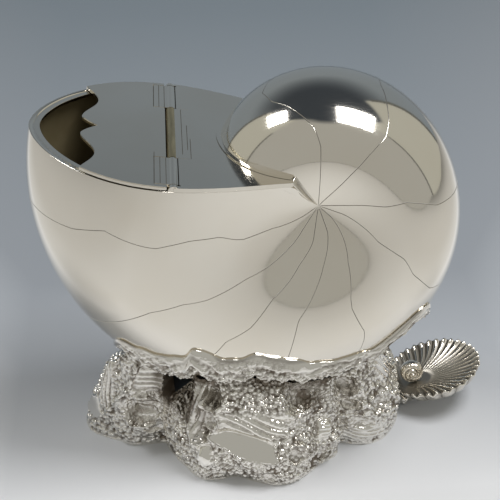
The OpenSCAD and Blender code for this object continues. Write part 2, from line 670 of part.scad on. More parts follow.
// Scallop dish, with a lobed edge and ribs that spread from its beak
module scallop_dish() {
    cols = flutes * 4;
    beak = [-beak_x, -beak_y];
    root_r = volute_r - 1;
    wall_in = 2.4;
    function back_side(a) = clamp(-5 * cos(a) - 3, 0, 1);
    function edge(a) =
        min(dish_r, dish_back / max(0.05, -cos(a)))
        - flute_depth * (1 - sqrt(abs(cos(flutes * a / 2)))) * (1 - back_side(a));
    // Plan of a rib: a curve from the beak that meets the edge square
    function rib(a, s) =
        let (
            out = [cos(a), sin(a)],
            root = beak + root_r * out,
            rim = edge(a) * out,
            bend = clamp(1.3 * cos(a) + 1, 0, 1),
            turn = mix((root + rim) / 2, 0.4 * rim + 0.15 * beak, bend))
        mix(mix(root, turn, s), mix(turn, rim, s), s);
    shares = [1, 0.85, 0.65, 0.4, 0];
    function top(a, s) = [rib(a, s)[0], rib(a, s)[1], -dish_floor * (1 - pow(s, 2.6))];
    function under(a, s) = [cos(a), sin(a), 0] * (edge(a) - wall_in) * (0.1 + 0.9 * s) - [0, 0, dish_h];
    ring_a = [for (j = [0:cols - 1]) -360 * j / cols];
    color(silver) at_dish() sheet(
        [for (s = shares) [for (a = ring_a) top(a, s)]],
        [for (s = shares) [for (a = ring_a) under(a, s)]],
        closed = true,
        tips = [[beak[0], beak[1], -dish_floor], [0, 0, -dish_h]]);
}

// Scroll on the scallop's beak, coiled like a snail on both faces
module volute() {
    shares = [1, 0.9, 0.75, 0.6, 0.45, 0.3, 0.15];
    coil = 0.7;
    shrink = 0.42;
    function height(a, q) =
        0.4 + (volute_half - 0.4) * sqrt(1 - pow(q, 6)) * (0.62 + 0.38 * (1 - q))
        + coil * (abs(sin(180 * ln(q) / ln(shrink) + a / 2)) - 0.5) * (1 - q) * q * 4;
    function face(side) = [for (q = shares) [for (j = [0:volute_cols - 1])
        let (a = -360 * j / volute_cols)
        [volute_r * q * cos(a), volute_r * q * sin(a), side * height(a, q)]]];
    color(silver) at_dish()
        translate([-beak_x, -beak_y, volute_r - dish_floor + solder_gap]) rotate([90, 0, 0])
            sheet(face(1), face(-1), closed = true, tips = [[0, 0, volute_half], [0, 0, -volute_half]]);
}

shell_near_half();
shell_far_half();
rim_flange();
deck_plate();
deck_hinge_leaf();
lid_flap();
lid_hinge_leaves();
hinge_pin();
wave_collar();
rock_left();
rock_front();
rock_right();
rock_back();
base_strap();
shell_stud();
stud_washer();
stud_nut();
handle_stem();
scallop_dish();
volute();
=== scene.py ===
import math
import bmesh
import bpy
import numpy as np
from functools import partial
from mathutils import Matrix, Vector


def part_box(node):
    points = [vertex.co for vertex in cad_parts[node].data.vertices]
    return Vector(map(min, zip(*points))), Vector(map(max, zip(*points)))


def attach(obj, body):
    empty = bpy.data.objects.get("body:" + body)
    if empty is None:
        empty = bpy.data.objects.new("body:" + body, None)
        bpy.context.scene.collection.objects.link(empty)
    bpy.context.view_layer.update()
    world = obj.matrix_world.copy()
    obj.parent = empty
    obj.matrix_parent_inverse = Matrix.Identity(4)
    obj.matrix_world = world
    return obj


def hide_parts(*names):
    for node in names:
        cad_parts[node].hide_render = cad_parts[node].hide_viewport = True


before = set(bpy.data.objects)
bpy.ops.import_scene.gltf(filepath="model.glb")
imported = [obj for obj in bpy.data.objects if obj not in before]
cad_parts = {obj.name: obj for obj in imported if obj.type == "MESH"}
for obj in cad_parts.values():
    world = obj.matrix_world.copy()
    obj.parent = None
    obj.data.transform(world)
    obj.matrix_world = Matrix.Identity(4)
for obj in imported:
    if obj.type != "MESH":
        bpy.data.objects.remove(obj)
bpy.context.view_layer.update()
mm = 0.001
mixLow, mixHigh, mixOut = 6, 7, 2     # the colour sockets of a Mix node


# general helpers

def hexToLinear(code):
    parts = [int(code[i:i + 2], 16) / 255 for i in (1, 3, 5)]
    return tuple(c / 12.92 if c <= 0.04045 else ((c + 0.055) / 1.055) ** 2.4 for c in parts) + (1.0,)


# a node given as an input stands for its first output
def addNode(tree, kind, inputs=(), **settings):
    node = tree.nodes.new(kind)
    for name, value in settings.items():
        setattr(node, name, value)
    pairs = inputs.items() if isinstance(inputs, dict) else enumerate(inputs)
    for key, value in pairs:
        if isinstance(value, bpy.types.Node):
            value = value.outputs[0]
        if isinstance(value, bpy.types.NodeSocket):
            tree.links.new(value, node.inputs[key])
        else:
            node.inputs[key].default_value = value
    return node


def newMaterial(name):
    material = bpy.data.materials.new(name)
    material.use_nodes = True
    tree = material.node_tree
    tree.nodes.clear()
    add = partial(addNode, tree)
    return material, add, add("ShaderNodeTexCoord").outputs["Object"]


def closeMaterial(add, inputs):
    add("ShaderNodeOutputMaterial", {"Surface": add("ShaderNodeBsdfPrincipled", inputs)})


# a cloudy pattern of a given size in mm, and the mix of two colours that follows it
def cloudTones(add, place, size, detail, low, high):
    cloud = add("ShaderNodeTexNoise", {"Vector": place, "Scale": 1 / (size * mm), "Detail": detail})
    tones = {0: cloud, mixLow: hexToLinear(low), mixHigh: hexToLinear(high)}
    return cloud, add("ShaderNodeMix", tones, data_type="RGBA").outputs[mixOut]


def newTree(name, sockets):
    tree = bpy.data.node_groups.new(name, "GeometryNodeTree")
    tree.interface.new_socket("Geometry", in_out="INPUT", socket_type="NodeSocketGeometry")
    for label, kind in sockets:
        tree.interface.new_socket(label, in_out="INPUT", socket_type="NodeSocket" + kind)
    tree.interface.new_socket("Geometry", in_out="OUTPUT", socket_type="NodeSocketGeometry")
    return tree, partial(addNode, tree), tree.nodes.new("NodeGroupInput").outputs


def closeTree(add, geometry, material):
    real = add("GeometryNodeRealizeInstances", [geometry])
    add("NodeGroupOutput", [add("GeometryNodeSetMaterial", {"Geometry": real, "Material": material})])


def newPiece(name, points, faces, attributes=None, material=None, smooth=True):
    mesh = bpy.data.meshes.new(name)
    mesh.from_pydata([tuple(p) for p in points], [], faces)
    for label, values in (attributes or {}).items():
        layer = mesh.attributes.new(label, "FLOAT", "POINT")
        layer.data.foreach_set("value", np.asarray(values, np.float32).ravel())
    mesh.polygons.foreach_set("use_smooth", [smooth] * len(mesh.polygons))
    if material:
        mesh.materials.append(material)
    piece = bpy.data.objects.new(name, mesh)
    bpy.context.scene.collection.objects.link(piece)
    return piece


def runTree(piece, tree, values):
    modifier = piece.modifiers.new(tree.name, "NODES")
    modifier.node_group = tree
    for item in tree.interface.items_tree:
        if item.in_out == "INPUT" and item.name in values:
            modifier[item.identifier] = values[item.name]
    graph = bpy.context.evaluated_depsgraph_get()
    mesh = bpy.data.meshes.new_from_object(piece.evaluated_get(graph))
    piece.modifiers.remove(modifier)
    piece.data = mesh
    mesh.name = piece.name


def faceOutward(piece, islands=False):
    work = bmesh.new()
    work.from_mesh(piece.data)
    if islands:
        bmesh.ops.recalc_face_normals(work, faces=work.faces)
    elif work.calc_volume(signed=True) < 0:
        bmesh.ops.reverse_faces(work, faces=work.faces)
    work.to_mesh(piece.data)
    work.free()


# faces between closed rings of points, with flat ends if they are capped
def ringFaces(rings, count, capped=False):
    faces = []
    for low in range(0, (rings - 1) * count, count):
        for j in range(count):
            k = (j + 1) % count
            faces.append((low + j, low + k, low + count + k, low + count + j))
    if capped:
        last = (rings - 1) * count
        faces += [tuple(range(count))[::-1], tuple(range(last, last + count))]
    return faces


def settle(piece, body, slot, *nodes):
    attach(piece, body)
    if nodes:
        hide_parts(*nodes)


# materials

# Polished silver plate: near mirror, a little warm, fine wiping scratches, dark in the engraved cuts and
# along the painted shade lines beside the hinge.
def makePolishedSilver():
    look = {"silver": "#f2eee6", "warm": "#e8e1d4", "cloud": 30, "cut": "#5d584f", "dull": 0.5,
            "scratch": 0.5, "stretch": (1, 9, 14), "turn": (0.3, 0.5, 0.2), "rough": (0.05, 0.13),
            "relief": 0.02, "bump": 0.04}
    material, add, place = newMaterial("polishedSilver")
    tone = cloudTones(add, place, look["cloud"], 3, look["silver"], look["warm"])[1]
    # this attribute marks the engraved cuts and also painted shade lines
    cut = add("ShaderNodeAttribute", attribute_name="cut").outputs["Fac"]
    tones = {0: cut, mixLow: tone, mixHigh: hexToLinear(look["cut"])}
    colour = add("ShaderNodeMix", tones, data_type="RGBA").outputs[mixOut]
    wipe = add("ShaderNodeMapping", {"Vector": place, "Rotation": look["turn"], "Scale": look["stretch"]})
    scale = 1 / (look["scratch"] * look["stretch"][2] * mm)
    scratch = add("ShaderNodeTexNoise", {"Vector": wipe, "Scale": scale, "Detail": 2})
    low, high = look["rough"]
    rough = add("ShaderNodeMapRange", {"Value": scratch, "To Min": low, "To Max": high})
    dull = add("ShaderNodeMath", (cut, look["dull"], rough), operation="MULTIPLY_ADD")
    bump = add("ShaderNodeBump", {"Height": scratch, "Strength": look["bump"],
                                  "Distance": look["relief"] * mm})
    closeMaterial(add, {"Base Color": colour, "Roughness": dull, "Normal": bump, "Metallic": 1.0})
    return material


# Tarnished silver inside the vessel: brown and olive sulphide film, dull and mottled.
def makeTarnishedSilver():
    look = {"dark": "#857858", "light": "#a39676", "patch": 9, "rough": (0.5, 0.28), "metal": 0.25}
    material, add, place = newMaterial("tarnishedSilver")
    patch, tone = cloudTones(add, place, look["patch"], 5, look["dark"], look["light"])
    low, high = look["rough"]
    rough = add("ShaderNodeMapRange", {"Value": patch, "To Min": low, "To Max": high})
    closeMaterial(add, {"Base Color": tone, "Roughness": rough, "Metallic": look["metal"]})
    return material


# Cast and chased silver plate: bright on the worn knobs, brown in the hollows, partly film left there and
# partly painted shade.
def makeCastSilver():
    look = {"bright": "#f3f0ea", "brown": "#5e5040", "film": 7, "filmFrom": 0.05, "filmTo": 0.55,
            "filmMost": 0.9, "rough": (0.05, 0.35), "spark": 0.6, "relief": 0.25}
    material, add, place = newMaterial("castSilver")
    film = add("ShaderNodeTexNoise", {"Vector": place, "Scale": 1 / (look["film"] * mm), "Detail": 4})
    recess = add("ShaderNodeAttribute", attribute_name="recess").outputs["Fac"]
    depth = add("ShaderNodeMath", (recess, film), operation="MULTIPLY")
    amount = add("ShaderNodeMapRange", {"Value": depth, "From Min": look["filmFrom"],
                                        "From Max": look["filmTo"], "To Max": look["filmMost"]})
    # the brown tone follows the recess attribute, which carries film and painted shade
    tones = {0: amount, mixLow: hexToLinear(look["bright"]), mixHigh: hexToLinear(look["brown"])}
    tone = add("ShaderNodeMix", tones, data_type="RGBA").outputs[mixOut]
    low, high = look["rough"]
    rough = add("ShaderNodeMapRange", {"Value": amount, "To Min": low, "To Max": high})
    spark = add("ShaderNodeTexNoise", {"Vector": place, "Scale": 1 / (look["spark"] * mm), "Detail": 1})
    grain = add("ShaderNodeAttribute", attribute_name="grain").outputs["Fac"]
    bump = add("ShaderNodeBump", {"Height": spark, "Strength": grain, "Distance": look["relief"] * mm})
    closeMaterial(add, {"Base Color": tone, "Roughness": rough, "Normal": bump, "Metallic": 1.0})
    return material


# Worn brass: plating rubbed through on the middle knuckle, streaked along the hinge line.
def makeWornBrass():
    look = {"brass": "#c3b996", "dirt": "#6b6553", "streak": 1.6, "stretch": (1, 0.15, 1), "metal": 0.9,
            "rough": 0.38}
    material, add, place = newMaterial("wornBrass")
    along = add("ShaderNodeMapping", {"Vector": place, "Scale": look["stretch"]})
    tone = cloudTones(add, along, look["streak"], 4, look["brass"], look["dirt"])[1]
    closeMaterial(add, {"Base Color": tone, "Roughness": look["rough"], "Metallic": look["metal"]})
    return material


# Turned steel: grey, with fine lathe marks dulled by handling.
def makeTurnedSteel():
    look = {"steel": "#8d8f92", "dark": "#65676a", "mark": 0.8, "rough": 0.35}
    material, add, place = newMaterial("turnedSteel")
    tone = cloudTones(add, place, look["mark"], 3, look["steel"], look["dark"])[1]
    closeMaterial(add, {"Base Color": tone, "Roughness": look["rough"], "Metallic": 1.0})
    return material


polishedSilver = makePolishedSilver()
tarnishedSilver = makeTarnishedSilver()
castSilver = makeCastSilver()
wornBrass = makeWornBrass()
turnedSteel = makeTurnedSteel()
print("materials made")


# the shell's rule, in millimetres from the middle of the base

studLow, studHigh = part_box("shell_stud")
baseX = (studLow.x + studHigh.x) / 2 / mm
shell = {
    "centreX": 21.5, "centreZ": 106.703, "startRadius": 35.2, "mouthRadius": 99.5, "onset": 3.6,
    "reach": 3.4, "poleHalf": 24, "swellStart": 4, "swellMouth": 23, "swellPower": 1.2, "flankPower": 1.3,
    "taper": 0.28, "taperPower": 6.0, "wall": 1.5, "tilt": 8, "deckAbove": 9, "lipTurn": 50, "lipGap": 2,
    "edge": 0.3, "rimGap": 0.19, "rows": 150, "fill": 18, "cutDepth": 0.12, "cutFade": 3,
    # half widths of a cut's floor, its mouth and the guard beside it, each with its largest share of a span
    "cuts": [(0.05, 0.08), (0.12, 0.16), (0.1, 0.05)],
}

# growth lines engraved on each flank, as (turn, section angle) from the pole towards the keel
growthLines = [
    [(0.249, 64), (0.249, 50), (0.239, 38), (0.204, 22), (0.18, 13), (0.169, 0)],
    [(0.347, 64), (0.353, 50), (0.363, 36), (0.36, 26), (0.354, 15), (0.349, 0)],
    [(0.474, 73), (0.482, 64), (0.478, 54), (0.498, 39), (0.503, 23), (0.507, 5)],
    [(0.54, 81), (0.58, 68), (0.585, 57), (0.60, 51), (0.609, 38), (0.606, 31)],
    [(0.613, 85), (0.673, 73), (0.697, 64), (0.70, 61), (0.695, 51), (0.698, 48), (0.71, 41)],
    [(0.696, 83), (0.736, 76), (0.757, 70), (0.778, 63), (0.779, 56), (0.78, 51)],
    [(0.773, 82), (0.801, 77), (0.811, 73), (0.827, 68), (0.834, 60), (0.848, 54), (0.848, 45)],
    [(0.846, 82), (0.867, 75), (0.886, 70), (0.901, 61), (0.913, 56), (0.92, 48), (0.919, 40), (0.917, 18)],
    [(0.915, 87), (0.951, 80), (0.959, 74), (0.981, 70), (0.987, 64), (0.985, 56), (0.989, 53),
     (1.002, 44), (0.997, 34), (0.995, 5)],
]


def whorlRadius(turn):
    span = shell["mouthRadius"] - shell["startRadius"]
    return shell["mouthRadius"] - span * (1 - np.clip(turn, 0, 1) ** shell["onset"]) ** shell["reach"]


def skinPoint(turn, phi, lift=0.0):
    turn, phi, lift = np.broadcast_arrays(turn, phi, lift)
    grown = np.maximum(turn, 0) ** shell["swellPower"]
    swell = shell["swellStart"] + (shell["swellMouth"] - shell["swellStart"]) * grown
    swell = swell * (1 - shell["taper"] * turn ** shell["taperPower"] * np.cos(phi) ** 2)
    flank = np.abs(np.sin(2 * phi)) ** shell["flankPower"]
    side = (shell["poleHalf"] + lift) * np.sin(np.abs(phi)) + swell * flank
    radius = (whorlRadius(turn) + lift) * np.cos(phi)
    angle = math.pi - 2 * math.pi * turn
    return np.stack([shell["centreX"] + radius * np.cos(angle), np.sign(phi) * side,
                     shell["centreZ"] + radius * np.sin(angle)], -1)


def edgeTurn(radius, phi, cap):
    rise = np.arcsin(np.minimum(1, shell["deckAbove"] / np.maximum(radius * np.cos(phi), 0.01)))
    return np.minimum(math.radians(cap), math.radians(shell["tilt"]) + rise) / (2 * math.pi)


def toPart(points):
    return ((np.asarray(points) + np.array([baseX, 0, 0])) * mm).reshape(-1, 3)


# rolls a chart of turn, section angle and height above the skin into the spiral
def makeRollTree():
    names = ["Centre X", "Centre Z", "Start Radius", "Mouth Radius", "Onset", "Reach", "Pole Half Width",
             "Swell Start", "Swell Mouth", "Swell Power", "Flank Power", "Mouth Taper", "Taper Power"]
    sockets = [(name, "Float") for name in names] + [("Outside", "Material"), ("Inside", "Material")]
    tree, add, given = newTree("rollShell", sockets)
    place = add("GeometryNodeInputPosition")
    spot = add("ShaderNodeSeparateXYZ", [place]).outputs
    known = {"turn": spot[0], "phi": spot[1], "lift": spot[2]}
    known.update({name: given[name] for name in names})
    steps = [     # what each step gives, its operation, and what it takes
        ("within", "MINIMUM", "turn", 1.0), ("opened", "POWER", "within", "Onset"),
        ("left", "SUBTRACT", 1.0, "opened"), ("closing", "POWER", "left", "Reach"),
        ("shrink", "SUBTRACT", "Start Radius", "Mouth Radius"),
        ("radius", "MULTIPLY_ADD", "closing", "shrink", "Mouth Radius"),
        ("raised", "ADD", "radius", "lift"), ("cosPhi", "COSINE", "phi"),
        ("arm", "MULTIPLY", "raised", "cosPhi"), ("angle", "MULTIPLY_ADD", "turn", -2 * math.pi, math.pi),
        ("cosTurn", "COSINE", "angle"), ("sinTurn", "SINE", "angle"),
        ("x", "MULTIPLY_ADD", "arm", "cosTurn", "Centre X"),
        ("z", "MULTIPLY_ADD", "arm", "sinTurn", "Centre Z"),
        ("grown", "POWER", "turn", "Swell Power"), ("growth", "SUBTRACT", "Swell Mouth", "Swell Start"),
        ("swell", "MULTIPLY_ADD", "grown", "growth", "Swell Start"),
        ("twice", "MULTIPLY", "phi", 2.0), ("wave", "SINE", "twice"), ("flank", "ABSOLUTE", "wave"),
        ("full", "POWER", "flank", "Flank Power"), ("late", "POWER", "turn", "Taper Power"),
        ("upright", "MULTIPLY", "cosPhi", "cosPhi"), ("drawnIn", "MULTIPLY", "late", "upright"),
        ("lost", "MULTIPLY", "drawnIn", "Mouth Taper"), ("kept", "SUBTRACT", 1.0, "lost"),
        ("wide", "MULTIPLY", "swell", "kept"), ("bulge", "MULTIPLY", "wide", "full"),
        ("sinPhi", "SINE", "phi"), ("slant", "ABSOLUTE", "sinPhi"),
        ("pole", "ADD", "Pole Half Width", "lift"), ("side", "MULTIPLY_ADD", "pole", "slant", "bulge"),
        ("sign", "SIGN", "phi"), ("y", "MULTIPLY", "sign", "side"),
    ]
    for name, operation, *parts in steps:
        known[name] = add("ShaderNodeMath", [known.get(p, p) for p in parts], operation=operation)
    rolled = add("ShaderNodeCombineXYZ", (known["x"], known["y"], known["z"]))
    moved = add("GeometryNodeSetPosition", {"Geometry": given["Geometry"], "Position": rolled})
    joined = add("GeometryNodeMergeByDistance", {"Geometry": moved, "Distance": 0.004 * mm})
    inner = add("GeometryNodeInputNamedAttribute", {"Name": "inner"}, data_type="FLOAT")
    isInner = add("FunctionNodeCompare", (inner, 0.99), data_type="FLOAT", operation="GREATER_THAN")
    real = add("GeometryNodeRealizeInstances", [joined])
    outside = add("GeometryNodeSetMaterial", {"Geometry": real, "Material": given["Outside"]})
    both = add("GeometryNodeSetMaterial", {"Geometry": outside, "Selection": isInner,
                                           "Material": given["Inside"]})
    add("NodeGroupOutput", [both])
    return tree


# one closed row of the chart: outer skin from the whorl to the mouth, round the lip and back inside
def chartRow(phi):
    flat = abs(phi)
    degrees = math.degrees(flat)
    wall, edge, depth = shell["wall"], shell["edge"], shell["cutDepth"]
    rim = wall + shell["rimGap"]     # the lip runs in to the flat rim
    cap, start, mouth = shell["lipTurn"], shell["startRadius"], shell["mouthRadius"]
    first, firstIn = [float(edgeTurn(start - inset, flat, cap)) for inset in (0, wall)]
    cap -= shell["lipGap"]
    last, lastIn, lastRim = [1 + float(edgeTurn(mouth - inset, flat, cap)) for inset in (0, wall, rim)]
    knots, shades = [first], [0]
    for line in growthLines:
        spots, angles = zip(*line[::-1])
        knots.append(float(np.interp(degrees, angles, spots)))
        shades.append(float(np.clip((degrees - angles[0] + shell["cutFade"]) / shell["cutFade"], 0, 1)))
    knots.append(last)
    outer = []     # turn, height and shade of each point
    for k in range(len(growthLines) + 1):
        low, high = knots[k], knots[k + 1]
        arm = 2 * math.pi * float(whorlRadius(low)) * max(math.cos(flat), 0.02)
        floor, half, guard = [min(size / arm, share * (high - low)) for size, share in shell["cuts"]]
        start, stop = low, high
        if k > 0:
            outer += [(at, -depth * shades[k], shades[k]) for at in (low, low + floor)]
            start = low + half
        if k < len(growthLines):
            stop = high - half
        fill = np.linspace(start + guard, stop - guard, shell["fill"])     # keeps a cut's shading narrow
        outer += [(at, 0, 0) for at in (start, *fill, stop)]
        if k < len(growthLines):
            outer.append((high - floor, -depth * shades[k + 1], shades[k + 1]))
    count = len(outer)
    row = outer + [(last, -edge, 0), (lastRim, -rim, 0)]
    row += [(at, -wall, 0) for at in np.linspace(lastIn - 0.002, firstIn, count)]
    row += [(firstIn, edge - wall, 0), (first, -edge, 0)]
    return row, [0] * (count + 1) + [1] * (count + 2) + [0]


def makeShell():
    phis = np.radians(np.linspace(-90, 90, shell["rows"]))
    points, shades, inner = [], [], []
    for phi in phis:
        row, rowInner = chartRow(phi)
        points += [(turn, phi, lift * mm) for turn, lift, shade in row]
        shades += [shade for turn, lift, shade in row]
        inner += rowInner
    faces = ringFaces(len(phis), len(points) // len(phis))
    piece = newPiece("spiralShell", points, faces, {"cut": shades, "inner": inner})
    lengths = {"Centre X": shell["centreX"] + baseX, "Centre Z": shell["centreZ"],
               "Start Radius": shell["startRadius"], "Mouth Radius": shell["mouthRadius"],
               "Pole Half Width": shell["poleHalf"], "Swell Start": shell["swellStart"],
               "Swell Mouth": shell["swellMouth"]}
    values = {name: length * mm for name, length in lengths.items()}
    values.update({"Onset": shell["onset"], "Reach": shell["reach"], "Swell Power": shell["swellPower"],
                   "Flank Power": shell["flankPower"], "Mouth Taper": shell["taper"],
                   "Taper Power": shell["taperPower"], "Outside": polishedSilver,
                   "Inside": tarnishedSilver})
    runTree(piece, makeRollTree(), values)
    faceOutward(piece)
    settle(piece, "vessel", "silver_plate", "shell_near_half", "shell_far_half")


# folds that close each end of the lip against the whorl, from the mouth's edge in to the pole
lipFold = {"lip": 37, "whorl": 58, "reach": 15.2, "pole": 0.7, "sag": 0.85, "wall": 0.5, "rows": 60,
           "cols": 40, "mean": 0.6, "curl": 0.5, "waves": 9, "twist": 5, "shade": 0.75}


def makeLipFolds():
    look = lipFold
    arm = np.linspace(look["reach"], look["pole"], look["rows"])[:, None]
    across = np.linspace(0, 1, look["cols"])[None, :]
    share = arm / look["reach"]
    bump = np.sin(math.pi * across) * np.clip(3 * share, 0, 1)
    curl = np.sin(look["waves"] * across - look["twist"] * share)     # an ear that curls over once
    curl = look["mean"] + look["curl"] * curl
    hollow = np.clip(look["shade"] - curl, 0, 1) * bump
    points, faces, tarnish = [], [], []
    for side in (-1, 1):
        lip = skinPoint(1 + look["lip"] / 360, side * np.arccos(arm / shell["mouthRadius"]))
        whorl = skinPoint(look["whorl"] / 360, side * np.arccos(arm / shell["startRadius"]))
        sheet = lip + (whorl - lip) * across[..., None]
        sheet[..., 1] += side * look["sag"] * bump * curl
        inner = sheet - np.array([0, side * look["wall"], 0])
        rings = np.concatenate([sheet, inner[:, ::-1]], 1)
        first = len(points)
        points += list(rings.reshape(-1, 3))
        faces += [tuple(first + k for k in face) for face in ringFaces(*rings.shape[:2], capped=True)]
        tarnish += list(np.concatenate([hollow, hollow[:, ::-1]], 1).ravel())
    piece = newPiece("lipFolds", toPart(points), faces, {"cut": tarnish}, polishedSilver)
    faceOutward(piece, islands=True)
    settle(piece, "vessel", "silver_plate")


makeShell()
makeLipFolds()
print("shell rolled")


# plates and hinge: the exact solids with their edges broken, as a silversmith would leave them

pinLow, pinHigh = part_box("hinge_pin")
pinAt = (pinLow + pinHigh) / 2
plateTilt = math.radians(shell["tilt"])
plateUp = Vector((math.sin(plateTilt), 0, math.cos(plateTilt)))
plateAlong = Vector((math.cos(plateTilt), 0, -math.sin(plateTilt)))
plates = {"edge": 0.22, "seam": 0.07, "barrel": 2.0, "level": 0.999, "true": 0.03, "segments": 2,
          "merge": 0.001, "flat": 0.5, "corner": 40, "sharp": 25}     # lengths in mm, angles in degrees


def bevelCopy(node, name, width, body, slot, barrel=None):
    look = plates
    work = bmesh.new()
    work.from_mesh(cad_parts[node].data)
    bmesh.ops.remove_doubles(work, verts=work.verts, dist=look["merge"] * mm)
    flat, corner = math.radians(look["flat"]), math.radians(look["corner"])
    bmesh.ops.dissolve_limit(work, angle_limit=flat, verts=work.verts, edges=work.edges)
    sharp = [e for e in work.edges if len(e.link_faces) == 2 and e.calc_face_angle() > corner]
    bmesh.ops.bevel(work, geom=sharp, offset=look[width] * mm, segments=look["segments"], affect="EDGES",
                    clamp_overlap=True)
    top = max(v.co.dot(plateUp) for v in work.verts)
    for vert in work.verts:     # the upper face is trued, as a mirror shows every dent
        short = top - vert.co.dot(plateUp)
        if short < look["true"] * mm:
            vert.co += plateUp * short
    work.normal_update()
    work.verts.index_update()
    smooth, worn = [], []
    for face in work.faces:
        middle = face.calc_center_median() - pinAt
        onBarrel = math.hypot(middle.x, middle.z) < look["barrel"] * mm
        smooth.append(onBarrel or abs(face.normal.dot(plateUp)) < look["level"])
        worn.append(int(bool(barrel) and onBarrel))
    faces = [[v.index for v in face.verts] for face in work.faces]
    piece = newPiece(name, [v.co for v in work.verts], faces, material=polishedSilver)
    work.free()
    if barrel:
        piece.data.materials.append(barrel)
    piece.data.polygons.foreach_set("use_smooth", smooth)
    piece.data.polygons.foreach_set("material_index", worn)
    piece.data.set_sharp_from_angle(angle=math.radians(look["sharp"]))
    settle(piece, body, slot, node)


bevelCopy("deck_plate", "deckPlate", "edge", "vessel", "silver_plate")
bevelCopy("rim_flange", "rimFlange", "seam", "vessel", "silver_plate")
bevelCopy("deck_hinge_leaf", "deckHingeLeaf", "seam", "vessel", "worn_brass", wornBrass)
bevelCopy("lid_flap", "lidFlap", "edge", "lid", "silver_plate")
bevelCopy("lid_hinge_leaves", "lidHingeLeaves", "seam", "lid", "silver_plate")
for name in ("hinge_pin", "base_strap", "shell_stud", "stud_washer", "stud_nut"):
    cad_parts[name].data.materials.clear()
    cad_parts[name].data.materials.append(turnedSteel)


# flat run of solder that closes the deck against the foot of the whorl
solder = {"width": 1.0, "inside": 1.2, "above": 0.015, "below": 0.3, "limit": 66, "steps": 161}


def makeSolder():
    look = solder
    phis = np.radians(np.linspace(-look["limit"], look["limit"], look["steps"]))
    foot = skinPoint(edgeTurn(shell["startRadius"], phis, shell["lipTurn"]), phis)
    up, along = np.array(plateUp), np.array(plateAlong)
    slope = np.stack([-np.gradient(foot[:, 1]), np.gradient(foot @ along)], -1)
    slope /= np.linalg.norm(slope, axis=1, keepdims=True)
    outward = slope[:, :1] * along + slope[:, 1:] * np.array([0, 1, 0])
    deckTop = max(v.co.dot(plateUp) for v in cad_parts["deck_plate"].data.vertices) / mm
    level = deckTop - (foot + np.array([baseX, 0, 0])) @ up
    high, low = look["above"], -look["below"]
    section = ((-look["inside"], high), (look["width"], high), (look["width"], low), (-look["inside"], low))
    rings = np.stack([foot + outward * reach + up * (level + lift)[:, None] for reach, lift in section], 1)
    faces = ringFaces(look["steps"], len(section), capped=True)
    piece = newPiece("whorlSolder", toPart(rings), faces, material=polishedSilver, smooth=False)
    faceOutward(piece)
    settle(piece, "vessel", "silver_plate")


# fine dark lines beside the knuckles, painted shade for the fine gaps at the barrel and leaf edges with
# dark scratch lines among them, as distance from the pin and span along it
shadeSeams = {"face": 1.4, "width": 0.2, "height": 0.06,     # face: the plates' top above the pin's axis
         "lid": [(-6.2, -36.4, -15.6), (-4.3, -36.4, -18.8), (-2.35, -36.4, -18.8),
                 (-6.2, 18.8, 36.4), (-4.3, 18.8, 36.4), (-2.35, 18.8, 36.4)],
         "deck": [(3.4, -15.5, 18), (5.2, -12, 6), (6.2, -18, -4)]}

# square corners along the knuckles and along the deck, which leave a thin line at the hinge
hingeLines = {"height": 0.2, "lidWidth": 0.45, "deckWidth": 0.48,
              "lid": [(1.27, -36.7, -18.8), (1.27, 18.8, 36.7)],
              "deck": [(2.06, -36.7, -18.6), (2.06, 18.6, 36.7)]}


# lays one bar on every point, as long as the point's span
def makeBarTree():
    sockets = [(name, "Float") for name in ("Width", "Height", "Tilt", "Cut And Shade")]
    tree, add, given = newTree("seamBars", sockets + [("Material", "Material")])
    span = add("GeometryNodeInputNamedAttribute", {"Name": "span"}, data_type="FLOAT")
    size = add("ShaderNodeCombineXYZ", (given["Width"], span, given["Height"]))
    lean = add("ShaderNodeCombineXYZ", (0.0, given["Tilt"], 0.0))
    turned = add("FunctionNodeEulerToRotation", [lean])
    bar = add("GeometryNodeMeshCube")
    laid = add("GeometryNodeInstanceOnPoints", {"Points": given["Geometry"], "Instance": bar,
                                                "Rotation": turned, "Scale": size})
    real = add("GeometryNodeRealizeInstances", [laid])
    marked = add("GeometryNodeStoreNamedAttribute",
                 {"Geometry": real, "Name": "cut", "Value": given["Cut And Shade"]}, data_type="FLOAT")
    closeTree(add, marked, given["Material"])
    return tree


def makeSeams(name, lines, width, height, drop, cut, body):
    level = pinAt + plateUp * (shadeSeams["face"] - drop) * mm
    places = [level + plateAlong * x * mm + Vector((0, (low + high) / 2 * mm, 0)) for x, low, high in lines]
    piece = newPiece(name, places, [], {"span": [(high - low) * mm for x, low, high in lines]})
    runTree(piece, barTree, {"Width": width * mm, "Height": height * mm, "Tilt": plateTilt, "Cut And Shade": cut,
                             "Material": polishedSilver})
    piece.data.shade_flat()
    settle(piece, body, "silver_plate")


makeSolder()
barTree = makeBarTree()
for body, part in (("lid", "lid"), ("vessel", "deck")):
    # these bars are drawn dark: painted shade for the gaps beside the knuckles, and dark scratches
    makeSeams(part + "ShadeSeams", shadeSeams[part], shadeSeams["width"], shadeSeams["height"], 0, 1.0, body)
    makeSeams(part + "HingeLines", hingeLines[part], hingeLines[part + "Width"], hingeLines["height"],
              hingeLines["height"] / 2, 0.0, body)
print("plates and hinge dressed")
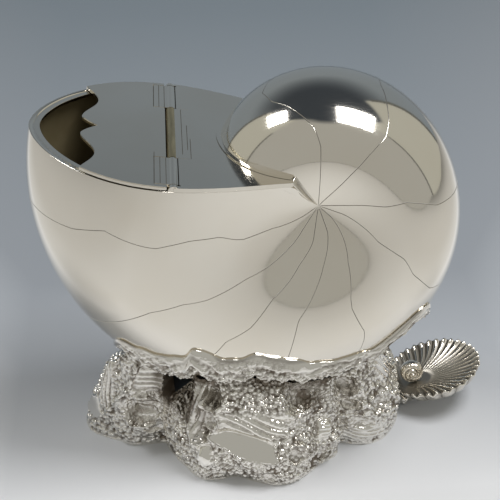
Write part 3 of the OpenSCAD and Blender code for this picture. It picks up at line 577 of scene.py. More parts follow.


# cast pieces: surfaces drawn one by one, then grained by one node tree

# raises beads and fine pits where the grain attribute asks for them, and notes the hollows, with grime and
# painted shade in the lows between the beads
def makeGrainTree():
    sockets = [(name, "Float") for name in ("Bead Size", "Bead Height", "Bead Rim", "Pit Size", "Pit Depth",
                                            "Grime And Shade", "Grime And Shade Depth", "Seed")]
    tree, add, given = newTree("castGrain", sockets + [("Material", "Material")])
    place = add("GeometryNodeInputPosition")
    grain = add("GeometryNodeInputNamedAttribute", {"Name": "grain"}, data_type="FLOAT")
    hollow = add("GeometryNodeInputNamedAttribute", {"Name": "recess"}, data_type="FLOAT")
    beadScale = add("ShaderNodeMath", (1.0, given["Bead Size"]), operation="DIVIDE")
    pitScale = add("ShaderNodeMath", (1.0, given["Pit Size"]), operation="DIVIDE")
    bead = add("ShaderNodeTexVoronoi", {"Vector": place, "W": given["Seed"], "Scale": beadScale},
               voronoi_dimensions="4D", feature="F1").outputs["Distance"]
    dome = add("ShaderNodeMath", (given["Bead Rim"], bead), operation="SUBTRACT")
    pit = add("ShaderNodeTexNoise", {"Vector": place, "W": given["Seed"], "Scale": pitScale,
                                     "Detail": 2.0}, noise_dimensions="4D")
    dip = add("ShaderNodeMath", (pit, 0.5), operation="SUBTRACT")
    raised = add("ShaderNodeMath", (dome, given["Bead Height"]), operation="MULTIPLY")
    height = add("ShaderNodeMath", (dip, given["Pit Depth"], raised), operation="MULTIPLY_ADD")
    scaled = add("ShaderNodeMath", (height, grain), operation="MULTIPLY")
    normal = add("GeometryNodeInputNormal")
    offset = add("ShaderNodeVectorMath", {0: normal, "Scale": scaled}, operation="SCALE")
    # the lows between the beads are darkened: grime and painted shade
    low = add("ShaderNodeMapRange", {"Value": dome, "From Min": 0.0, "From Max": given["Grime And Shade Depth"]})
    grimeAndShade = add("ShaderNodeMath", (low, grain), operation="MULTIPLY")
    film = add("ShaderNodeMath", (grimeAndShade, given["Grime And Shade"], hollow), operation="MULTIPLY_ADD", use_clamp=True)
    noted = add("GeometryNodeStoreNamedAttribute",
                {"Geometry": given["Geometry"], "Name": "recess", "Value": film}, data_type="FLOAT")
    moved = add("GeometryNodeSetPosition", {"Geometry": noted, "Offset": offset})
    closeTree(add, moved, given["Material"])
    return tree


castGrain = makeGrainTree()
grainLook = {"Bead Size": 1.35 * mm, "Bead Height": 1.3 * mm, "Bead Rim": 0.45, "Pit Size": 0.9 * mm,
             "Pit Depth": 0.35 * mm, "Grime And Shade": 1.1, "Grime And Shade Depth": -0.4, "Material": castSilver}
cradle = {"fore": 54, "aft": 62, "flank": 50, "gap": 0.35}


def castPiece(name, rings, recess, grain, faces, seed, node, flatEnds=False):
    piece = newPiece(name, toPart(rings), faces, {"recess": recess, "grain": grain})
    if flatEnds:
        for k in (-1, -2):
            piece.data.polygons[k].use_smooth = False
    faceOutward(piece)
    runTree(piece, castGrain, dict(grainLook, Seed=seed))
    settle(piece, "vessel", "cast_silver", node)


# turn of the skin's lower side above a given x
def keelTurn(x, phi):
    x, phi = np.broadcast_arrays(x, phi)
    turn = np.full(x.shape, 0.79)     # the lowest point, as a first try
    for _ in range(8):
        arm = whorlRadius(turn) * np.cos(phi)
        turn = 0.5 + np.arccos(np.clip((x - shell["centreX"]) / arm, -1, 1)) / (2 * math.pi)
    return turn


def cradlePoint(bearing, share, lift):
    c, s = np.cos(np.radians(bearing)), np.sin(np.radians(bearing))
    phi = np.radians(cradle["flank"]) * s * share
    length = np.where(c < 0, cradle["fore"], cradle["aft"])
    return skinPoint(keelTurn(length * c * share, phi), phi, lift)


# the same ring, met in a given direction from the middle of the base
def cradleAt(bearing, share, lift):
    turn = np.array(bearing, float)
    for _ in range(6):
        spot = cradlePoint(turn, share, lift)
        off = bearing - np.degrees(np.arctan2(spot[..., 1], spot[..., 0]))
        turn = turn + off - 360 * np.round(off / 360)
    return cradlePoint(turn, share, lift)


# a smooth run through given values
def easeBetween(x, xs, ys):
    xs, ys = np.asarray(xs, float), np.asarray(ys, float)
    k = np.clip(np.searchsorted(xs, x) - 1, 0, len(xs) - 2)
    h = xs[k + 1] - xs[k]
    s = np.clip((x - xs[k]) / h, 0, 1)
    slope = np.gradient(ys, xs)
    return ((2 * s ** 3 - 3 * s ** 2 + 1) * ys[k] + (s ** 3 - 2 * s ** 2 + s) * h * slope[k]
            + (3 * s ** 2 - 2 * s ** 3) * ys[k + 1] + (s ** 3 - s ** 2) * h * slope[k + 1])


def smoothStep(x, low, high):
    s = np.clip((x - low) / (high - low), 0, 1)
    return s * s * (3 - 2 * s)


# A rock's sections: degrees from its middle, reach at the table, reach and height of the belly, reach and
# height of the shoulder, and the ring on the shell where it ends. Reaches and heights are shares.
# The rest starts with a place in mm. Hollows: half width, half height, depth. Streaks: half width, half
# height, pitch, slant, depth, film (brown film and painted shade in the grooves). Facets: facing, half
# length,
# half height, tilt, softness, bow. Ridges: where they end, height. Shade films, patches of painted shade in
# the cave and where the rock is set back: half width, half height, amount.
leftRock = {
    "mid": 180, "ends": (-33.38, 33.38), "reach": 65, "seed": 1.0, "cols": 320, "rows": 190,
    "sections": [
        (-33, 0.58, 0.6, 0.3, 0.57, 0.6, 0.8), (-24, 0.7, 0.72, 0.3, 0.69, 0.6, 0.8),
        (-17, 0.82, 0.81, 0.28, 0.75, 0.6, 0.82), (-10, 0.93, 0.9, 0.26, 0.82, 0.58, 0.83),
        (0, 1, 0.94, 0.3, 0.84, 0.76, 0.84), (10, 0.97, 0.93, 0.42, 0.845, 0.97, 0.87),
        (18, 0.84, 0.855, 0.42, 0.815, 1.2, 0.9), (24, 0.755, 0.79, 0.4, 0.775, 1.33, 0.92),
        (27, 0.66, 0.71, 0.42, 0.73, 1.3, 0.92), (29, 0.61, 0.645, 0.42, 0.675, 1.22, 0.88),
        (33, 0.61, 0.63, 0.4, 0.62, 1.1, 0.84)],
    "hollows": [(-42, -20.5, 19, 6.6, 4.6, 2.4), (-41, -20.5, 18, 3.4, 1.9, 1.4),
                (-36.5, -20.8, 9.5, 5, 2, 0.8)],
    "streaks": [(-54.8, -12, 26, 4.6, 12, 5.6, -78, 2.0, 1.6),
                (-38, -21, 33.5, 6.5, 6.5, 5.4, 3, 0.9, 0.8)],
    "facets": [(-61, -8, 10.5, (-0.86, -0.42, 0.3), 5, 4.2, 20, 0.1, 0.4)],
    "ridges": [((-43, -22, 40), (-47.3, -21, 28.6), 1.8), ((-47.3, -21, 28.6), (-53, -18, 20.3), 1.8),
               ((-53, -18, 20.3), (-56, -15, 12.5), 1.3), ((-46.5, -21, 12.8), (-40, -21, 11.8), 1.3),
               ((-40, -21, 11.8), (-33, -21.5, 16.5), 1.3)],
    "shadeFilms": [(-34, -22, 31, 3, 9, 1.0)],
}
frontRock = {
    "mid": 268.4, "ends": (-54.98, 55.2), "reach": 46.5, "seed": 2.0, "cols": 430, "rows": 200,
    "sections": [
        (-55, 0.855, 0.86, 0.36, 0.82, 0.74, 0.52), (-49, 0.87, 0.87, 0.36, 0.82, 0.71, 0.5),
        (-41, 0.9, 0.9, 0.34, 0.83, 0.62, 0.52), (-37, 0.915, 0.915, 0.34, 0.83, 0.91, 0.74),
        (-31, 0.955, 0.945, 0.33, 0.85, 0.94, 0.77), (-25, 0.975, 1, 0.27, 0.87, 0.97, 0.79),
        (-18, 0.935, 0.98, 0.27, 0.87, 1, 0.83), (-10, 0.88, 0.98, 0.29, 0.87, 1, 0.83),
        (0, 0.925, 0.995, 0.3, 0.87, 0.99, 0.84), (8, 0.98, 1.015, 0.32, 0.875, 0.98, 0.84),
        (17, 1, 1.03, 0.33, 0.87, 0.93, 0.82), (24, 0.97, 1.01, 0.33, 0.84, 0.86, 0.77),
        (36, 0.925, 0.95, 0.33, 0.84, 0.88, 0.76), (48, 0.93, 0.945, 0.33, 0.86, 0.94, 0.77),
        (55, 0.86, 0.88, 0.33, 0.83, 0.94, 0.77)],
    "hollows": [(-14.5, -33, 35, 3.2, 4.4, 5), (-17, -34, 24, 4.5, 6, 2.4), (13.6, -44, 13, 2.6, 3, 2.2),
                (25, -35, 4.5, 2.4, 2.8, 3), (14.5, -34.5, 32, 5.5, 4.5, 2),
                (-18.5, -37.5, 18.5, 4, 3, 1.6),
                (3, -46, 4, 3, 2.4, 1.0), (25.5, -34.5, 16.5, 3.2, 3.4, -1.6)],
    "streaks": [(-1, -41, 25.5, 13, 5, 6, -22, 1.2, 0.3), (-21.5, -34, 28, 3.2, 12, 5, 84, 1.1, 0.6),
                (25.5, -34.5, 16.5, 3, 3.4, 3.4, -12, 0.5, 0.2)],
    "facets": [(-4.4, -43, 17, (-0.12, -1, 0.78), 12.3, 4.2, -18, 0.04, 0.7),
               (-19.6, -40.4, 11.5, (-0.4, -0.8, 0.4), 3.0, 4.0, 0, 0.45, 1.1)],
    "ridges": [((3, -40, 29), (18, -43, 12), 1.3), ((-15, -37, 33), (-14, -41, 22), 0.8),
               ((-25, -36, 14), (-14, -40, 21), 0.9), ((-11, -38, 38), (9, -38, 38), 0.7)],
    "shadeFilms": [(-28, -25, 28, 9, 9, 1.0), (22, -34, 31, 7, 6, 0.6)],
}
rightHalf = [
    (0, 1, 1, 0.33, 0.935, 0.6, 0.74), (10, 0.965, 0.98, 0.33, 0.87, 0.82, 0.78),
    (19, 0.93, 0.94, 0.33, 0.785, 1.07, 0.82), (26, 0.885, 0.89, 0.33, 0.76, 1.045, 0.82),
    (32, 0.79, 0.795, 0.33, 0.705, 1, 0.8), (36, 0.655, 0.67, 0.33, 0.63, 0.94, 0.78)]
rightRock = {
    "mid": 360, "ends": (-36.35, 36.35), "reach": 61, "seed": 3.0, "cols": 340, "rows": 190,
    "sections": [(-row[0],) + row[1:] for row in rightHalf[:0:-1]] + rightHalf,
    "hollows": [(34.7, -23.5, 28.5, 3.4, 3.4, 2.2), (36.5, -24.5, 19.5, 3.2, 2.2, 1.8),
                (47, -22, 17, 3, 2.6, 1.2),
                (41, -25.3, 11, 4.5, 2.6, 1.0), (46, 24, 20, 6, 5, 1.8)],
    "streaks": [(41, -25.5, 5.5, 10, 3.6, 4.2, -6, 0.6, 0.4), (50, -11, 29, 7, 7, 5, -52, 0.9, 0.5),
                (50, 11, 29, 7, 7, 5, 52, 0.9, 0.5)],
    "facets": [],
    "ridges": [((41.5, -22, 37), (43, -24, 27), 1.4), ((43, -24, 27), (34, -24, 23.5), 1.0),
               ((52, -17, 20), (44, -24, 27), 1.2), ((57, -13, 13), (50, -19, 20), 1.0)],
    "shadeFilms": [],
}
rockShape = {"height": 33, "wall": 6, "seat": 0.4, "tuck": 0.14, "stemX": 57.5, "inner": 12,
             "stops": (0, 0.3, 0.76, 1), "soften": 0.14, "endCols": 14}
rockRelief = {
    "lump": 0.8, "lumpPitch": (3.1, 4.3, 3.7, 4.1), "knob": 0.5, "knobPitch": (1.9, 2.3, 2.9),
    "streakReach": 14, "ridgeWidth": 1.2, "hollowReach": 12, "rimAt": 1.4, "rimWidth": 0.3,
    "rimHeight": 0.4, "hollowFilm": 0.22, "underShellShade": 0.9, "facetReach": 8, "facetPower": 2.1,
    "chips": ((0.07, 3, 1), (0.05, 5, 0)), "edgeAt": 1.08, "edgeWidth": 0.05, "edgeHeight": 0.5,
    "skirt": 1.3,
}


def rockGrid(rock):
    offset = np.linspace(*rock["ends"], rock["cols"])[None, :]
    s = np.linspace(0, 1, rock["rows"])[:, None]
    bearing = rock["mid"] + offset
    table = np.array(rock["sections"], float)
    foot, bellyR, bellyZ, shoulderR, shoulderZ, share = [
        easeBetween(offset, table[:, 0], table[:, k])[..., None] for k in range(1, 7)]
    angle = np.radians(bearing)
    out = np.stack([np.cos(angle), np.sin(angle), np.zeros_like(angle)], -1)
    up = np.array([0, 0, rockShape["height"]])
    head = cradleAt(bearing, share[..., 0], cradle["gap"] + rockShape["seat"])
    side = out * rock["reach"]
    knots = [foot * side, bellyR * side + bellyZ * up, shoulderR * side + shoulderZ * up, head]
    stops = rockShape["stops"]
    points = np.zeros((rock["rows"], rock["cols"], 3))
    for k in range(3):
        along = np.clip((s - stops[k]) / (stops[k + 1] - stops[k]), 0, 1)[..., None]
        inside = ((s >= stops[k]) & (s <= stops[k + 1]))[..., None]
        points = np.where(inside, knots[k] + (knots[k + 1] - knots[k]) * along, points)
    kernel = np.hanning(int(rock["rows"] * rockShape["soften"]) | 1)
    kernel /= kernel.sum()
    pad = len(kernel) // 2
    for axis in range(3):
        column = np.pad(points[..., axis], ((pad, pad), (0, 0)), mode="reflect", reflect_type="odd")
        points[..., axis] = np.apply_along_axis(np.convolve, 0, column, kernel, "valid")
    s = np.broadcast_to(s, points.shape[:2])
    return s, bearing, share[..., 0], np.broadcast_to(out, points.shape), points


# the way each part of the rock faces; at the flat ends it is the rock's own bearing
def rockFacing(out, points):
    facing = np.cross(np.gradient(points, axis=1), np.gradient(points, axis=0))
    facing /= np.linalg.norm(facing, axis=-1, keepdims=True) + 1e-9
    facing *= np.sign((facing * out).sum(-1, keepdims=True))
    cols = np.arange(points.shape[1])
    share = smoothStep(np.minimum(cols, cols[::-1]), 0, rockShape["endCols"])[None, :, None]
    facing = out * (1 - share) + facing * share
    return facing / np.linalg.norm(facing, axis=-1, keepdims=True)


# a feature's own axes: across it, up it and out of the rock
def localAxes(points, facing, x, y, z):
    away = points - np.array([x, y, z])
    nearest = np.unravel_index((away ** 2).sum(-1).argmin(), away.shape[:2])
    fx, fy = facing[nearest][:2] / math.hypot(*facing[nearest][:2])
    return away @ np.array([-fy, fx, 0]), away[..., 2], away @ np.array([fx, fy, 0])


# a facet struck flat with a little bow, inside a chipped outline with a raised edge
def strikeFacet(points, cx, cy, cz, normal, long, tall, tilt, soft, bow):
    look = rockRelief
    n = np.array(normal) / np.linalg.norm(normal)
    side = np.cross(np.array([0, 0, 1.0]), n)
    side /= np.linalg.norm(side)
    rise = np.cross(n, side)
    turn = math.radians(tilt)
    away = points - np.array([cx, cy, cz])
    a = away @ (side * math.cos(turn) + rise * math.sin(turn)) / long
    b = away @ (rise * math.cos(turn) - side * math.sin(turn)) / tall
    power = look["facetPower"]
    size = (np.abs(a) ** power + np.abs(b) ** power) ** (1 / power)
    bearing = np.arctan2(b, a)
    size = size * (1 + sum(deep * np.sin(count * bearing + start) for deep, count, start in look["chips"]))
    near = np.exp(-(away @ n / look["facetReach"]) ** 4)
    flat = (1 - smoothStep(size, 1 - soft, 1 + soft)) * near
    edge = np.exp(-((size - look["edgeAt"]) / look["edgeWidth"]) ** 2) * near * max(0, 1 - soft * 6)
    sunk = away @ n - bow * np.clip(1 - size ** 2, -0.5, 1)
    blend = (1 - smoothStep(size, 1.0, look["skirt"])) * near
    moved = points - n * (sunk * np.maximum(flat, blend) - look["edgeHeight"] * edge)[..., None]
    return moved, flat, edge


def dressRock(rock, s, out, points):
    look = rockRelief
    facing = rockFacing(out, points)
    recess = np.zeros(s.shape)
    grain = np.ones(s.shape)
    x, y, z = points[..., 0], points[..., 1], points[..., 2]
    px, pz, qz, qy = look["lumpPitch"]
    kx, ky, kz = look["knobPitch"]
    lift = look["lump"] * np.sin(x / px + z / pz) * np.sin(z / qz - y / qy)
    lift += look["knob"] * np.sin(x / kx - y / ky + z / kz)
    for cx, cy, cz, wide, tall, pitch, slant, depth, film in rock["streaks"]:
        along, rise, deep = localAxes(points, facing, cx, cy, cz)
        mask = np.exp(-((along / wide) ** 6 + (rise / tall) ** 6 + (deep / look["streakReach"]) ** 4))
        turn = math.radians(slant)
        across = rise * math.cos(turn) - along * math.sin(turn)
        down = rise * math.sin(turn) + along * math.cos(turn)
        sway = 0.8 * np.sin(down / 4.1) + 0.5 * np.sin(across / 1.9)     # no two grooves alike
        land = np.abs(np.sin(2 * math.pi * across / pitch + sway)) ** 0.6     # broad lands, narrow grooves
        lift = lift * (1 - 0.7 * mask) + depth * mask * (land - 0.6)
        # the grooves darken with brown film and painted shade, the dark that the flutes reflect
        recess += film * mask * (1 - land)
        grain *= 1 - 0.85 * mask
    for start, stop, tall in rock["ridges"]:
        line = np.subtract(stop, start)
        away = points - np.array(start)
        span = np.clip(away @ line / (line @ line), 0, 1)
        near = np.linalg.norm(away - span[..., None] * line, axis=-1)
        lift += tall * np.exp(-(near / look["ridgeWidth"]) ** 2)
    for cx, cy, cz, wide, tall, depth in rock["hollows"]:
        along, rise, deep = localAxes(points, facing, cx, cy, cz)
        away = np.sqrt((along / wide) ** 2 + (rise / tall) ** 2 + (deep / look["hollowReach"]) ** 4)
        rim = look["rimHeight"] * min(depth, 3) * np.exp(-((away - look["rimAt"]) / look["rimWidth"]) ** 2)
        lift += rim - depth * np.exp(-away ** 4)
        recess += look["hollowFilm"] * np.clip(depth, 0, 4) * np.exp(-(away / 0.9) ** 4)
        grain *= 1 - 0.7 * np.exp(-away ** 2)
    # patches of painted shade where the rock opens into the cave or is set back
    for cx, cy, cz, wide, tall, amount in rock["shadeFilms"]:
        along, rise, deep = localAxes(points, facing, cx, cy, cz)
        away = (along / wide) ** 2 + (rise / tall) ** 2 + (deep / look["hollowReach"]) ** 2
        recess += amount * np.exp(-away ** 2)
    fade = np.clip(s * 9, 0, 1) * np.clip((1 - s) * 6, 0, 1)     # plain at the table and under the shell
    points = points + facing * (lift * fade)[..., None]
    for facet in rock["facets"]:
        points, flat, edge = strikeFacet(points, *facet)
        grain *= (1 - flat) * (1 - 0.5 * edge)
        recess *= 1 - np.maximum(flat, edge)
    points[..., 0] = np.minimum(points[..., 0], rockShape["stemX"])
    points[..., 2] = np.maximum(points[..., 2], 0)
    # painted shade on the head, where the rock runs in under the shell and the collar
    recess += np.clip((s - 0.9) / 0.1, 0, 1) * look["underShellShade"]
    return points, np.clip(recess, 0, 1), grain * np.clip(s * 30, 0, 1)


def makeRock(name, rock, node, mirrored=False):
    s, bearing, share, out, points = rockGrid(rock)
    points, recess, grain = dressRock(rock, s, out, points)
    back = np.linspace(1, 0, rockShape["inner"])[:, None, None]
    reach = np.hypot(points[0, :, 0], points[0, :, 1])[:, None] - rockShape["wall"]
    innerFoot = out[0] * reach
    innerHead = cradleAt(bearing[0], share[0] - rockShape["tuck"], cradle["gap"])
    inner = innerFoot + (innerHead - innerFoot) * back
    rings = np.swapaxes(np.concatenate([points, inner], 0), 0, 1)
    if mirrored:
        rings = rings * np.array([1, -1, 1])
    extra = np.zeros(inner.shape[:2])
    # the inner wall is painted fully dark, as painted shade inside the rock
    recessAll = np.concatenate([recess, extra + 1], 0).T
    grainAll = np.concatenate([grain, extra], 0).T
    grainAll[[0, -1]] = 0     # the flat ends meet their neighbours
    faces = ringFaces(*rings.shape[:2], capped=True)
    castPiece(name, rings, recessAll, grainAll, faces, rock["seed"], node, flatEnds=True)


makeRock("leftRock", leftRock, "rock_left")
makeRock("frontRock", frontRock, "rock_front")
makeRock("rightRock", rightRock, "rock_right")
makeRock("backRock", frontRock, "rock_back", mirrored=True)
print("rocks cast")


# wave round the shell: upper edge as a share of the cradle, its width, and the thickness of the casting
waveCollar = {
    "edge": [(0, 1.08), (20, 1.11), (28, 1.16), (42, 1.15), (48, 1.06), (57, 1.03), (67, 1.0), (76, 1.02),
             (88, 1.05), (103, 0.99), (110, 1.035), (121, 0.975), (136, 1.0), (148, 1.06),
             (162, 0.99), (180, 0.92)],
    "width": [(0, 0.04), (27, 0.04), (42, 0.045), (50, 0.07), (62, 0.08), (70, 0.1), (80, 0.13), (92, 0.13),
              (108, 0.13), (122, 0.11), (136, 0.1), (146, 0.055), (156, 0.05), (180, 0.06)],
    "thick": [(0, 1.6), (40, 1.9), (50, 2.6), (65, 3.5), (80, 4.1), (95, 4.0), (109, 4.6),
              (122, 3.9), (138, 3.0),
              (148, 1.6), (180, 1.6)],
    "ripples": ((0.012, 31, 0), (0.008, 47, 60)), "strands": 2.6, "sways": ((0.35, 7), (0.2, 13)),
    "strandHeight": 0.12, "swirlHeight": 0.1, "swirls": (53, 5), "worn": 0.85, "strandFilm": 0.5,
    "footShade": 0.7, "cols": 900, "rows": 44, "seed": 5.0,
}


def makeCollar():
    look = waveCollar
    bearing = np.linspace(0, 360, look["cols"], endpoint=False)[None, :]
    fold = 180 - np.abs(bearing - 180)     # both sides of the keel alike
    v = np.linspace(0, 1, look["rows"])[:, None]
    edge, width, thick = [easeBetween(fold, *zip(*look[name])) for name in ("edge", "width", "thick")]
    ripple = sum(high * np.sin(np.radians(count * bearing + at)) for high, count, at in look["ripples"])
    share = edge - width * (1 - v) + ripple * (1 - 0.6 * v) * np.minimum(1, width * 12)
    roll = np.sin(math.pi * np.clip(0.22 + 0.76 * v, 0, 1)) ** 0.75     # the section's round back
    sway = sum(size * np.sin(np.radians(count * bearing)) for size, count in look["sways"])
    strand = np.sin(2 * math.pi * (look["strands"] * v + sway))
    turns, twist = look["swirls"]
    swirl = np.sin(np.radians(turns * bearing) + twist * v)
    lift = cradle["gap"] + thick * roll * (1 + look["strandHeight"] * strand + look["swirlHeight"] * swirl)
    points = cradlePoint(np.broadcast_to(bearing, share.shape), share, lift)
    backing, under = [cradlePoint(bearing[0], share[k], cradle["gap"])[None] for k in (-1, 0)]
    rings = np.concatenate([points, backing, under], 0)
    worn = smoothStep(v, 0.45, 0.7) * (0.6 + 0.4 * np.sin(np.radians(9 * bearing + 40)))     # rubbed crests
    grain = np.clip(1.0 - look["worn"] * worn, 0, 1) * np.clip((1 - v) * 6, 0, 1)
    grain = grain * np.minimum(1, thick / 3)
    # darker in the grooves between strands, and painted shade along the collar's foot where it sits on the
    # rocks
    recess = look["strandFilm"] * np.clip(-strand, 0, 1) ** 2 + look["footShade"] * smoothStep(v, 0.15, 0)
    flat = np.zeros((2, look["cols"]))
    recess, grain = [np.concatenate([part, flat], 0) for part in (recess, grain)]
    cols, last = look["cols"], (len(rings) - 1) * look["cols"]
    faces = ringFaces(len(rings), cols)
    faces += [(last + j, last + (j + 1) % cols, (j + 1) % cols, j) for j in range(cols)]
    castPiece("waveCollar", rings, recess, grain, faces, look["seed"], "wave_collar")


makeCollar()
print("collar cast")


# scallop handle, drawn flat in its own frame and then tilted up towards its tip
scallop = {
    "x": 74, "y": 5.2, "z": 12.2, "tilt": 16.5, "roll": 5.5, "radius": 19, "chord": 15, "corner": 28.0,
    "floor": 3, "wall": 4.4, "lip": 0.35, "undercut": 2.4, "lobes": 18, "lobeDepth": 0.9, "ribHeight": 0.42,
    "bead": 0.55, "beadAt": 0.95, "beadWidth": 0.045, "beakX": -8.5, "beakY": -2, "root": 3.4,
    "film": 0.66, "rubbed": 0.7, "grooveFilm": 0.3, "wallFilm": 0.8,
    "cols": 540, "rows": 90, "wallRows": 25, "baseRows": 8,
}


def fromDish(points):
    tilt, roll = math.radians(scallop["tilt"]), math.radians(scallop["roll"])
    x, y, z = points[..., 0], points[..., 1], points[..., 2]
    y, z = y * math.cos(roll) + z * math.sin(roll), z * math.cos(roll) - y * math.sin(roll)
    x, z = x * math.cos(tilt) - z * math.sin(tilt), x * math.sin(tilt) + z * math.cos(tilt)
    return np.stack([x + scallop["x"], y + scallop["y"], z + scallop["z"]], -1)


def polishedCast(name, rings, cut, node):
    faces = ringFaces(*rings.shape[:2], capped=True)
    piece = newPiece(name, toPart(fromDish(rings)), faces, {"cut": cut}, polishedSilver)
    faceOutward(piece)
    settle(piece, "vessel", "silver_plate", node)


def makeDish():
    look = scallop
    a = np.linspace(0, 2 * math.pi, look["cols"], endpoint=False)[None, :]
    heading = np.stack([np.cos(a), np.sin(a)], -1)
    beakSide = smoothStep(-np.cos(a), 0.62, 0.8)
    chord = look["chord"] / np.maximum(-np.cos(a), 0.05)
    outline = (look["radius"] ** -look["corner"] + chord ** -look["corner"]) ** (-1 / look["corner"])
    lobe = np.abs(np.cos(look["lobes"] * a / 2)) ** 0.5
    rib = -np.cos(2 * look["lobes"] * a)
    crest, groove = np.clip(rib, 0, 1), np.clip(-rib, 0, 1)
    edge = outline - look["lobeDepth"] * (1 - lobe) * (1 - beakSide)
    s = np.linspace(0, 1, look["rows"])[:, None]
    # ribs fan out from the beak, bent like the real ones
    beak = np.array([look["beakX"], look["beakY"]])
    p0 = beak + look["root"] * heading
    p2 = edge[..., None] * heading
    bend = smoothStep(np.cos(a), -0.75, 0.0)[..., None]
    p1 = (p0 + p2) / 2 * (1 - bend) + (0.4 * p2 + 0.15 * beak) * bend
    q = s[..., None]
    plan = (1 - q) ** 2 * p0 + 2 * q * (1 - q) * p1 + q ** 2 * p2
    bowl = -look["floor"] * (1 - s ** 2.6)
    ribShare = smoothStep(s, 0.08, 0.35) * (1 - smoothStep(-np.cos(a), 0.2, 0.6)) + smoothStep(s, 0.55, 0.8)
    beads = look["bead"] * crest ** 0.7 * np.exp(-((s - look["beadAt"]) / look["beadWidth"]) ** 2)
    high = bowl + (look["ribHeight"] * rib * np.clip(ribShare, 0, 1) + beads) * (1 - beakSide)
    inside = np.concatenate([plan, high[..., None]], -1)
    w = np.linspace(0, 1, look["wallRows"] + 1)[1:, None]
    wallOut = edge + look["lip"] * np.sin(math.pi * np.clip(w * 3, 0, 1)) - look["undercut"] * w ** 1.6
    wallHigh = high[-1] - (look["wall"] + high[-1]) * w
    wall = np.concatenate([wallOut[..., None] * heading, wallHigh[..., None]], -1)
    base = np.linspace(0.8, 0.02, look["baseRows"])[:, None] * wallOut[-1]
    under = np.concatenate([base[..., None] * heading, np.full(base.shape + (1,), -look["wall"])], -1)
    film = look["film"] * (1 - look["rubbed"] * crest * ribShare)
    film = film + look["grooveFilm"] * groove ** 3 * ribShare
    wallFilm = np.broadcast_to((1 - lobe) * look["wallFilm"], wallOut.shape)
    grime = np.clip(np.concatenate([film, wallFilm, np.zeros(base.shape)], 0), 0, 1)
    polishedCast("scallopDish", np.concatenate([inside, wall, under], 0), grime, "scallop_dish")


# scroll on the beak, coiled like a snail on both faces
scroll = {"radius": 4.7, "half": 3.0, "shrink": 0.42, "ridge": 0.75, "boss": 0.9, "bossWidth": 0.16,
          "lift": 0.2, "bead": 0.14, "beads": 22, "beadAt": 0.9, "beadWidth": 0.09, "film": 0.7,
          "cols": 180, "rows": 60}


def makeScroll():
    look = scroll
    turn = np.linspace(0, 2 * math.pi, look["cols"], endpoint=False)[None, :]
    rho = np.linspace(1, 0.02, look["rows"])[:, None]
    coil = np.abs(np.sin(math.pi * (np.log(rho) / math.log(look["shrink"]) + turn / (2 * math.pi)))) ** 0.6
    beads = look["bead"] * np.cos(look["beads"] * turn)
    beads = beads * np.exp(-((rho - look["beadAt"]) / look["beadWidth"]) ** 2)
    high = look["half"] * (1 - rho ** 6) ** 0.5 * (0.62 + 0.38 * (1 - rho)) + beads
    high = high + look["ridge"] * (coil - 0.5) * np.clip((1 - rho) * 8, 0, 1) * np.clip(rho * 4, 0, 1)
    high = high + look["boss"] * np.exp(-(rho / look["bossWidth"]) ** 2)
    x = look["radius"] * rho * np.cos(turn)
    z = look["radius"] * rho * np.sin(turn)
    near, far = [np.stack([x, side * high, z], -1) for side in (-1, 1)]
    place = np.array([scallop["beakX"], scallop["beakY"], look["radius"] - scallop["floor"] + look["lift"]])
    cut = look["film"] * (1 - coil) ** 2
    cuts = np.concatenate([cut[::-1], cut[1:]], 0)
    polishedCast("beakScroll", np.concatenate([near[::-1], far[1:]], 0) + place, cuts, "volute")


# stem between the rock and the dish: place along the dish's axis, half width, underside and upper side
stem = {"stations": [(-21, 8, -9, 8.6), (-15.5, 7.4, -9, 5.6), (-15.3, 7, -9, -4.6), (-9, 5.6, -8, -4.6),
                     (-3, 3.5, -6.3, -4.6)],
        "rope": 0.35, "strands": 3, "lay": 2.4, "film": 0.4, "grain": 0.4,
        "cols": 120, "rows": 110, "face": 57.65, "low": 0.6, "offset": -2, "seed": 7.0}


def makeStem():
    look = stem
    table = np.array(look["stations"], float)
    along = np.linspace(table[0, 0], table[-1, 0], look["rows"])[:, None]
    half, low, high = [np.interp(along, table[:, 0], table[:, k]) for k in (1, 2, 3)]
    turn = np.linspace(0, 2 * math.pi, look["cols"], endpoint=False)[None, :]
    c, s = np.cos(turn), np.sin(turn)
    wide, tall = [np.sign(part) * np.abs(part) ** 0.6 for part in (c, s)]
    rope = look["rope"] * np.sin(along * look["lay"] + look["strands"] * turn) * (s < 0.5)
    across = look["offset"] + (half + rope) * wide
    rings = fromDish(np.stack([np.broadcast_to(along, rope.shape), across,
                               (low + high) / 2 + (high - low) / 2 * tall], -1))
    rings[..., 0] = np.maximum(rings[..., 0], look["face"])
    rings[..., 2] = np.maximum(rings[..., 2], look["low"])
    grain = np.broadcast_to(np.clip((1 - s) * 2, 0, look["grain"]), rope.shape)
    recess = look["film"] * np.clip(-rope, 0, 1)
    faces = ringFaces(*rings.shape[:2], capped=True)
    castPiece("handleStem", rings, recess, grain, faces, look["seed"], "handle_stem")


makeDish()
makeScroll()
makeStem()
print("scallop handle made")
